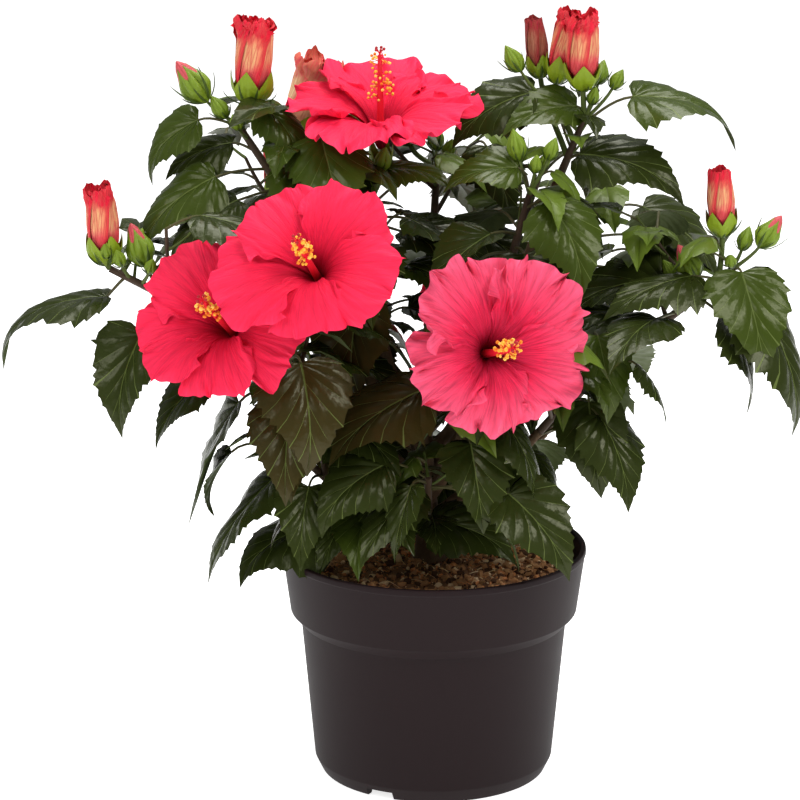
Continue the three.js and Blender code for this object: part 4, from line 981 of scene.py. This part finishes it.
def petal_grid(base, way, middle, reach, back, ruffle, corners, dice):
    """One petal: its middle lies at that angle round the way, its end is bent back by so many
    millimetres, and corners are its pointed lobes. Its two sides lie one under, one over its
    neighbours, and its margin is ruffled most."""
    s = np.linspace(0, 1, petal_rows)[:, None]
    t = np.linspace(-1, 1, petal_columns)[None, :]
    phases = [dice.uniform(0, math.tau) for i in range(14)]
    margin = 1 - 0.38 * np.abs(t) ** 2.6
    for corner, point in corners:
        margin = margin + point * np.exp(-np.abs(t - corner - dice.uniform(-0.12, 0.12)) / 0.12)
    waves = ((2.3, 0.02), (5.1, 0.012 * ruffle ** 2), (9.3, 0.008 * ruffle ** 3), (17, 0.006 * ruffle))
    for i, (count, depth) in enumerate(waves):
        drift = 0.8 * np.sin(7 * t + phases[i + 1])
        margin = margin + depth * np.sin(math.pi * count * t + phases[i] + drift)
    out = reach * (0.035 + 0.965 * s ** 1.15) * (1 + (margin - 1) * s ** 1.6)
    height = 30 * np.tanh(1.15 * s / 0.36) - back * np.maximum(0, s - 0.45) ** 2 / 0.3
    height = height + 3.4 * t * s ** 0.7 + 3 * (np.abs(t) - 0.5) * s * (1 - s)
    edge = np.maximum(s ** 6, np.abs(t) ** 5 * np.minimum(1, s * 1.6))
    for i, (depth, count) in enumerate(((1.6, 3.1), (1.5, 6.7), (0.9, 11.9))):
        slanted = t + 0.6 * np.sign(t) * s
        height = height + depth * ruffle ** 1.7 * edge * np.sin(math.pi * count * slanted + phases[4 + i])
    height = height + 2.2 * ruffle * s ** 2 * np.sin(math.pi * 1.3 * t + phases[7])
    for i, (depth, count) in enumerate(((1.1, 3.7), (0.8, 7.3), (0.5, 12.1), (0.25, 19.7))):
        bend = 1.2 * s + 0.5 * np.sin(5 * s + phases[i])
        fold = np.abs(np.sin(math.pi * count * t / 2 + phases[8 + i] + bend))
        height = height - depth * ruffle * (1 - fold) ** 1.4 * s ** 0.6 * (1.2 - s)
    side_ruffle = np.abs(t) ** 6 * np.minimum(1, s * 1.4) * np.sin(math.pi * 5.2 * s + phases[12])
    angle = math.radians(middle) + t * math.radians(53) + math.radians(7) * s
    angle = angle + ruffle * (0.05 * s ** 5 * np.sin(math.pi * 4.3 * t + phases[0]) + 0.06 * side_ruffle)
    right, upward = square_to(way)
    ring = right * np.cos(angle)[..., None] + upward * np.sin(angle)[..., None]
    return base + way * height[..., None] + ring * out[..., None], s, t


# Each petal is written (angle round the way, length, how far its end is bent back).
blooms = [
    {"name": "front_right", "face": (36, -114, 298), "azimuth": -74, "rise": 17,
     "mass": "front_right", "at": 1, "ruffle": 1.5, "finish": "pink",
     "petals": ((34, 61, 2), (112, 58, 3), (188, 52, 9), (262, 47, 20), (338, 58, 13)),
     "corners": ((-0.5, 0.02), (0.1, 0.03), (0.6, 0.02))},
    {"name": "front_upper", "face": (-74, -118, 353), "azimuth": -104, "rise": 36,
     "mass": "front_left", "at": 1, "ruffle": 0.9, "finish": "red",
     "petals": ((50, 53, 3), (122, 51, 3), (194, 57, 4), (266, 45, 8), (338, 52, 5)),
     "corners": ((-0.55, 0.1), (0, 0.05), (0.5, 0.12))},
    {"name": "front_left", "face": (-127, -88, 311), "azimuth": -108, "rise": 32,
     "mass": "front_left", "at": 0.7, "ruffle": 1, "finish": "red",
     "petals": ((50, 52, 3), (125, 54, 3), (197, 53, 5), (265, 46, 8), (335, 51, 6)),
     "corners": ((-0.45, 0.12), (0.45, 0.1))},
    {"name": "top", "face": (-33, 0, 424), "azimuth": -92, "rise": 77,
     "mass": "top", "at": 1, "ruffle": 1.2, "finish": "red",
     "petals": ((20, 58, 1), (92, 58, -4), (164, 56, 0), (242, 56, 4), (312, 55, 0)),
     "corners": ((-0.5, 0.16), (0.1, 0.05), (0.5, 0.16))},
    {"name": "back", "face": (46, 148, 262), "azimuth": 80, "rise": 24,
     "mass": "low_back", "at": 1, "ruffle": 1.1, "finish": "red",
     "petals": ((80, 54, 4), (152, 52, 5), (224, 55, 8), (296, 52, 8), (368, 54, 5)),
     "corners": ((-0.5, 0.06), (0.5, 0.08))},
]
petal_finishes = {
    "red": petal_finish("petal_red", (0.34, 0, 0.012), (0.84, 0.012, 0.058), (0.9, 0.024, 0.085),
                        0.82, 0.0012),
    "pink": petal_finish("petal_pink", (0.3, 0, 0.014), (0.82, 0.022, 0.085), (0.9, 0.1, 0.2),
                         0.64, 0.0014),
}
petal_faces = blade_faces(petal_rows, petal_columns)
column_red, yellow, orange, light_yellow, stigma_red = range(5)
calyx_green, bract_green, bud_green, bud_pink = range(4)
stamens = new_heap()
sepals = new_heap()


def add_blade(heap, middles, sides, halves, hollow, finish, thickness=0.5):
    """A narrow pointed blade along its middle line, hollowed to its upper side."""
    share = np.array([-1, -0.5, 0, 0.5, 1])[None, :, None]
    lift = np.cross(np.gradient(middles, axis=0), sides)
    lift /= np.linalg.norm(lift, axis=1, keepdims=True)
    halves = np.asarray(halves)[:, None, None]
    grid = middles[:, None] + sides[:, None] * share * halves
    grid = grid + lift[:, None] * hollow * halves * share ** 2
    lay(heap, blade_corners(grid, thickness), blade_faces(len(middles), 5), finish)


def add_round(heap, foot, way, heights, radii, finish, thickness=0.6):
    """A thin round skin about a way. Heights and radii are grids, rows along it, columns round it."""
    right, upward = square_to(way)
    angle = np.linspace(0, math.tau, heights.shape[1])
    ring = right * np.cos(angle)[:, None] + upward * np.sin(angle)[:, None]
    grid = foot + way * heights[..., None] + ring * radii[..., None]
    lay(heap, blade_corners(grid, thickness), blade_faces(*heights.shape)[:, ::-1], finish)


def add_calyx(foot, way, length, radius, turn, dice):
    """A green cup of five pointed sepals, with seven narrow bracts that curve up round its foot."""
    s = np.linspace(0, 1, 10)[:, None]
    around = np.linspace(0, math.tau, 61)[None, :]
    wave = ((around * 5 / math.tau + turn) % 1) * 2 - 1
    point = 1 - np.abs(wave)
    heights = length * s * (0.52 + 0.48 * point ** 0.9)
    swell = np.interp(s, (0, 0.1, 0.3, 0.6, 1), (0.2, 0.34, 0.64, 0.9, 1.0))
    ribs = 1 + (0.09 * point + 0.03 * np.cos(15 * around)) * np.sin(math.pi * s)
    add_round(sepals, foot, way, heights, radius * swell * ribs + 0.5 * s ** 3, calyx_green)
    right, upward = square_to(way)
    for i in range(7):
        angle = math.tau * (i + turn + dice.uniform(-0.15, 0.15)) / 7
        out = right * math.cos(angle) + upward * math.sin(angle)
        side = right * -math.sin(angle) + upward * math.cos(angle)
        reach = radius * dice.uniform(1.0, 1.45)
        tip = foot + out * reach + way * length * dice.uniform(0.35, 0.75)
        bract = bent(foot + out * radius * 0.2, unit(out + way * 0.2), tip, unit(way + out * 0.3))
        middles = on_curve(bract, np.linspace(0, 1, 7))
        halves = np.array([0.7, 0.95, 1, 0.9, 0.7, 0.4, 0.02]) * (0.5 + radius * 0.06)
        add_blade(sepals, middles, np.tile(side, (7, 1)), halves, 0.4, bract_green)


def add_stalk(flower, foot, way):
    """The flower's green stalk, from its mass's stem to its foot."""
    mass = next(mass for mass in masses if mass["name"] == flower["mass"])
    root = on_curve(mass["stem"], flower["at"])
    stalk = bent(root, unit(foot - root), foot, way)
    add_tube(twigs, on_curve(stalk, np.linspace(0, 1, 12)), np.linspace(1.9, 1.6, 12), 8, 1)


for number, bloom in enumerate(blooms):
    dice = random.Random(40 + number)
    way = heading(bloom["azimuth"], bloom["rise"])
    face = np.array(bloom["face"])
    base = face - way * 30
    petals = new_heap()
    for k, (middle, reach, back) in enumerate(bloom["petals"]):
        grid, s, t = petal_grid(base, way, middle, reach, back, bloom["ruffle"], bloom["corners"], dice)
        uv = np.stack(np.broadcast_arrays(t / 2 + 0.5 + 1.7 * k, s), axis=-1).reshape(-1, 2)
        lay(petals, blade_corners(grid, 0.45), petal_faces, 0, np.concatenate([uv, uv]))
    piece = joined("petals_" + bloom["name"], petals, [petal_finishes[bloom["finish"]]], sharp=80)
    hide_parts("bloom_" + bloom["name"])
    tip = face + way * (27 if bloom["name"] == "front_upper" else 31)
    column = bent(base + way * 3, way, tip, unit(way + up * 0.08))
    add_tube(stamens, on_curve(column, np.linspace(0, 1, 14)), np.linspace(2.6, 1.3, 14), 12, column_red)
    right, upward = square_to(way)
    spread = bloom["name"] == "top"
    start = 0.5 if spread else 0.6
    for i in range(58):
        share = start + (0.98 - start) * dice.random()
        spot = on_curve(column, share)
        angle = dice.uniform(0, math.tau)
        out = unit(right * math.cos(angle) + upward * math.sin(angle) + way * dice.uniform(-0.1, 0.7))
        reach = dice.uniform(4, 8) if spread else dice.uniform(2.6, 6.2)
        end = spot + out * reach
        add_tube(stamens, [spot, spot + out * reach * 0.5, end], [0.22, 0.2, 0.18], 3, column_red)
        size = dice.uniform(0.9, 1.2) if spread else dice.uniform(1.05, 1.45)
        squash = np.array([dice.uniform(0.8, 1.1) for axis in range(3)])
        finish = dice.choice((yellow, yellow, orange, light_yellow))
        lay(stamens, ball_corners * size * squash + spot + out * reach, ball_faces, finish)
    head = on_curve(column, 1.0)
    for i in range(5):
        angle = math.tau * i / 5
        out = right * math.cos(angle) + upward * math.sin(angle)
        tip = head + way * 4 + out * 2.6
        arm = bent(head, way, tip, unit(way + out))
        add_tube(stamens, on_curve(arm, np.linspace(0, 1, 5)), [0.5, 0.45, 0.4, 0.4, 0.4], 5, column_red)
        lay(stamens, ball_corners * 1.1 + tip, ball_faces, stigma_red)
    add_calyx(face - way * 48, way, 22, 7, 0.2 * number, dice)
    add_stalk(bloom, face - way * 47, way)
stamen_finishes = []
for name, colour, roughness in (
        ("column_red", (0.72, 0.012, 0.03), 0.45), ("anther_yellow", (0.85, 0.42, 0.04), 0.7),
        ("anther_orange", (0.78, 0.2, 0.015), 0.7), ("anther_light", (0.9, 0.52, 0.1), 0.7),
        ("stigma_red", (0.36, 0.01, 0.015), 0.5)):
    stamen_finishes.append(plain_finish(name, colour, roughness)[0])
joined("stamens", stamens, stamen_finishes)


# Rolled flowers: opening or closed again, their petals wound round each other into a tube that is
# peach outside, redder at its foot and along the petals' edges, and frilled bright red at its mouth.
def rolled_finish(name, foot, middle, edge):
    """Colours laid along a rolled petal, with the edge's colour towards one side and the top, and a
    net of fine veins."""
    finish, shader = plain_finish(name, middle, 0.5)
    shader.inputs["Specular IOR Level"].default_value = 0.2
    tree = finish.node_tree
    lie, stretched = petal_lie(tree, (7, 2, 1))
    uneven = add_node(tree, "TexNoise", {"Scale": 5})
    shifted = add_node(tree, "Math", {0: uneven.outputs["Fac"], 1: 0.3, 2: lie["Y"]},
                       operation="MULTIPLY_ADD")
    lowered = add_node(tree, "Math", {0: shifted.outputs["Value"], 1: 0.15}, operation="SUBTRACT")
    marks = ((0.34, foot), (0.52, middle), (0.7, middle), (0.86, edge))
    colour = add_ramp(tree, marks, lowered.outputs["Value"])
    side = add_node(tree, "MapRange", {"From Min": 0.76, "From Max": 0.97, "Value": lie["X"]})
    mix = add_node(tree, "Mix", {"A": colour, "B": (*edge, 1), "Factor": side.outputs["Result"]},
                   data_type="RGBA")
    creases = add_node(tree, "TexNoise", {"Scale": 4, "Detail": 4, "Vector": stretched})
    add_relief(tree, shader, creases.outputs["Fac"], 0.0012)
    net = add_node(tree, "TexVoronoi", {"Scale": 1.4, "Vector": stretched}, feature="DISTANCE_TO_EDGE")
    vein = add_node(tree, "MapRange", {"From Max": 0.2, "To Min": 0.75, "To Max": 0,
                                       "Value": net.outputs["Distance"]})
    vein_colour = (foot[0] * 0.8, foot[1] * 0.6, foot[2] * 0.5, 1)
    veined = add_node(tree, "Mix", {"A": mix.outputs["Result"], "B": vein_colour,
                                    "Factor": vein.outputs["Result"]}, data_type="RGBA")
    tree.links.new(veined.outputs["Result"], shader.inputs["Base Color"])
    return finish


rolled_flowers = [
    {"name": "upper_left", "foot": (-112, 11, 420), "top": (-108, 10, 475), "radius": 13,
     "mass": "upper_left", "at": 1, "open": 1, "finish": "peach"},
    {"name": "left", "foot": (-198, -30, 330), "top": (-202, -31, 379), "radius": 11,
     "mass": "left", "at": 1, "open": 0.5, "finish": "peach"},
    {"name": "upper_right", "foot": (90, 10, 430), "top": (88, -1, 478), "radius": 11.5,
     "mass": "upper_right", "at": 1, "open": 1, "finish": "peach"},
    {"name": "upper_right_small", "foot": (74, 26, 431), "top": (83, 23, 477), "radius": 9,
     "mass": "upper_right", "at": 0.6, "open": 0.8, "finish": "peach"},
    {"name": "upper_right_brown", "foot": (65, 33, 433), "top": (60, 33, 471), "radius": 7.5,
     "mass": "upper_right", "at": 0.35, "open": 0, "finish": "brown"},
    {"name": "right", "foot": (174, -19, 345), "top": (171, -21, 388), "radius": 9.3,
     "mass": "right", "at": 0.85, "open": 0.1, "finish": "peach"},
    {"name": "behind_top", "foot": (-86, 68, 384), "top": (-70, 66, 440), "radius": 16,
     "mass": "back_left", "at": 0.6, "open": 0.9, "finish": "faded"},
    {"name": "back_left", "foot": (-98, 116, 334), "top": (-101, 133, 371), "radius": 10,
     "mass": "back_left", "at": 1, "open": 0.4, "finish": "peach"},
    {"name": "back_top", "foot": (-14, 100, 378), "top": (-20, 110, 424), "radius": 11,
     "mass": "back_top", "at": 1, "open": 0.6, "finish": "peach"},
]
rolled_finishes = {
    "peach": rolled_finish("rolled_peach", (0.74, 0.085, 0.1), (0.78, 0.4, 0.19), (0.72, 0.01, 0.035)),
    "faded": rolled_finish("rolled_faded", (0.85, 0.38, 0.24), (0.95, 0.66, 0.36), (0.78, 0.1, 0.1)),
    "brown": rolled_finish("rolled_brown", (0.36, 0.09, 0.06), (0.42, 0.17, 0.1), (0.36, 0.02, 0.035)),
}
rolled_rows, rolled_columns = 30, 21
rolled_faces = blade_faces(rolled_rows, rolled_columns)
for number, flower in enumerate(rolled_flowers):
    dice = random.Random(70 + number)
    foot = np.array(flower["foot"], dtype=float)
    top = np.array(flower["top"], dtype=float)
    way = unit(top - foot)
    length = np.linalg.norm(top - foot)
    right, upward = square_to(way)
    tube = new_heap()
    s = np.linspace(0, 1, rolled_rows)[:, None]
    t = np.linspace(-1, 1, rolled_columns)[None, :]
    opened = flower["open"]
    for layer, (width, low, high, frill) in enumerate(((0.8, 0.08, 1, 1), (0.5, 0.5, 0.97, 1.3))):
        for k in range(5):
            phase = dice.uniform(0, math.tau)
            tall = dice.uniform(0.94, 1.02)
            swell = np.interp(s, (0, 0.25, 0.5, 0.72, 0.86, 1), (0.38, 0.93, 1.03, 1.0, 0.96, 0.94))
            swell = swell - 0.17 * (1 - opened) * np.maximum(0, s - 0.5) * 2
            mouth = np.maximum(0, s - 0.72) / 0.28
            flare = opened * frill * 0.32 * mouth ** 1.6 * (0.55 + np.sin(2.7 * t + phase))
            out = flower["radius"] * (width * swell + flare)
            out = out + 0.9 * t + 0.4 * np.sin(math.pi * 2.6 * t + phase) * s
            angle = math.tau * k / 5 + t * math.radians(64) + math.radians(42) * s + 0.6 * layer
            rise = length * (low + (high * tall - low) * s)
            rise = rise - length * (0.03 + 0.05 * opened) * s ** 5 * t ** 2
            crinkle = np.sin(math.pi * 1.3 * t + phase) + 0.35 * np.sin(math.pi * 4.7 * t + 2 * phase)
            rise = rise + flower["radius"] * 0.15 * s ** 7 * crinkle * (0.5 + 0.8 * opened)
            crease = np.sin(math.pi * 3.3 * t + phase + 3 * s) * s ** 3
            crease = crease + 0.4 * np.sin(math.pi * 8.3 * t + 2 * phase)
            crumple = np.sin(9 * mouth + 4.7 * t + phase) * mouth ** 1.5 * opened
            dents = 0.05 * crease * s ** 0.5 + 0.13 * crumple - 0.2 * opened * mouth ** 4
            out = out + flower["radius"] * dents
            ring = right * np.cos(angle)[..., None] + upward * np.sin(angle)[..., None]
            grid = foot + way * rise[..., None] + ring * out[..., None]
            length_share = np.broadcast_to(s if layer == 0 else s * 0.1 + 0.9, out.shape)
            uv = np.stack([np.broadcast_to(t / 2 + 0.5, out.shape), length_share], axis=-1).reshape(-1, 2)
            lay(tube, blade_corners(grid, 0.5), rolled_faces, 0, np.concatenate([uv, uv]))
    finish = rolled_finishes[flower["finish"]]
    piece = joined("furled_" + flower["name"], tube, [finish], sharp=80)
    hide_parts("rolled_" + flower["name"])
    add_calyx(foot, way, length * 0.42, flower["radius"] * 0.98, 0.3 * number, dice)
    add_stalk(flower, foot + way * 1.5, way)


# Buds: pointed and ribbed green buds in all stages at the ends of the stems, with narrow bracts
# round their feet. The largest ones show the first red of the petals at their tips.
for mass in masses:
    for i, (at, azimuth, rise, stalk, length) in enumerate(mass["buds"]):
        dice = random.Random(300 + 10 * mass["index"] + i)
        root = on_curve(mass["stem"], at)
        way = heading(azimuth, rise)
        foot = root + way * stalk
        upright = unit(way * 0.7 + up * 0.3)
        stalk_line = on_curve(bent(root, way, foot, upright), np.linspace(0, 1, 7))
        add_tube(twigs, stalk_line, np.linspace(1.4, 0.95, 7), 6, 1)
        s = np.linspace(0, 1, 14)[:, None]
        around = np.linspace(0, math.tau, 41)[None, :]
        ribs = 0.26 * np.abs(np.cos(2.5 * around)) + 0.1 * np.abs(np.sin(5 * around))
        ribs = 0.86 + ribs * np.sin(math.pi * s)
        start = foot - upright
        if length >= 22:
            cone = np.interp(s, (0, 0.3, 0.6, 0.85, 1), (0.03, 0.2, 0.19, 0.12, 0.02)) * length
            add_round(sepals, start, upright, s * length * np.ones_like(around), cone * ribs, bud_pink)
            point = 1 - np.abs(((around * 5 / math.tau) % 1) * 2 - 1)
            heights = length * s * (0.6 + 0.28 * point)
            cup = np.interp(heights / length, (0, 0.08, 0.3, 0.5, 0.7, 0.9),
                            (0.05, 0.16, 0.27, 0.26, 0.2, 0.13))
            add_round(sepals, start, upright, heights, cup * length * ribs, bud_green)
        else:
            swell = np.interp(s, (0, 0.08, 0.3, 0.5, 0.7, 0.88, 1),
                              (0.03, 0.15, 0.26, 0.25, 0.18, 0.08, 0.005))
            heights = s * length * np.ones_like(around)
            add_round(sepals, start, upright, heights, swell * length * ribs, bud_green)
        right, upward = square_to(upright)
        for k in range(7):
            angle = math.tau * (k + dice.uniform(-0.2, 0.2)) / 7
            out = right * math.cos(angle) + upward * math.sin(angle)
            side = right * -math.sin(angle) + upward * math.cos(angle)
            reach = length * dice.uniform(0.3, 0.5)
            tip = start + out * reach + upright * length * dice.uniform(0.3, 0.75)
            bract = bent(start + out * 0.5, unit(out + upright * 0.2), tip, unit(upright + out * 0.2))
            middles = on_curve(bract, np.linspace(0, 1, 7))
            halves = np.array([0.6, 0.9, 1, 0.9, 0.7, 0.4, 0.02]) * (0.55 + length * 0.02)
            add_blade(sepals, middles, np.tile(side, (7, 1)), halves, 0.4, bract_green, 0.4)

sepal_finishes = []
for name, colour in (("calyx_green", (0.205, 0.29, 0.012)), ("bract_green", (0.05, 0.085, 0.01)),
                     ("bud_green", (0.15, 0.225, 0.014)), ("bud_tip_pink", (0.5, 0.07, 0.08))):
    finish, shader = plain_finish(name, colour, 0.45)
    add_grain(finish, shader, 500, 0.0004)
    sepal_finishes.append(finish)
joined("calyxes_and_buds", sepals, sepal_finishes)
stem_finishes = [plain_finish("stem_purple_green", (0.06, 0.036, 0.02), 0.6)[0],
                 plain_finish("young_green", (0.08, 0.11, 0.02), 0.55)[0]]
joined("twigs", twigs, stem_finishes)
joined("petioles", petioles, [plain_finish("petiole_green", (0.075, 0.07, 0.025), 0.5)[0]])

size = {"cad": [list(corner) for corner in cad_box], "visual": [list(corner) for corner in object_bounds()]}
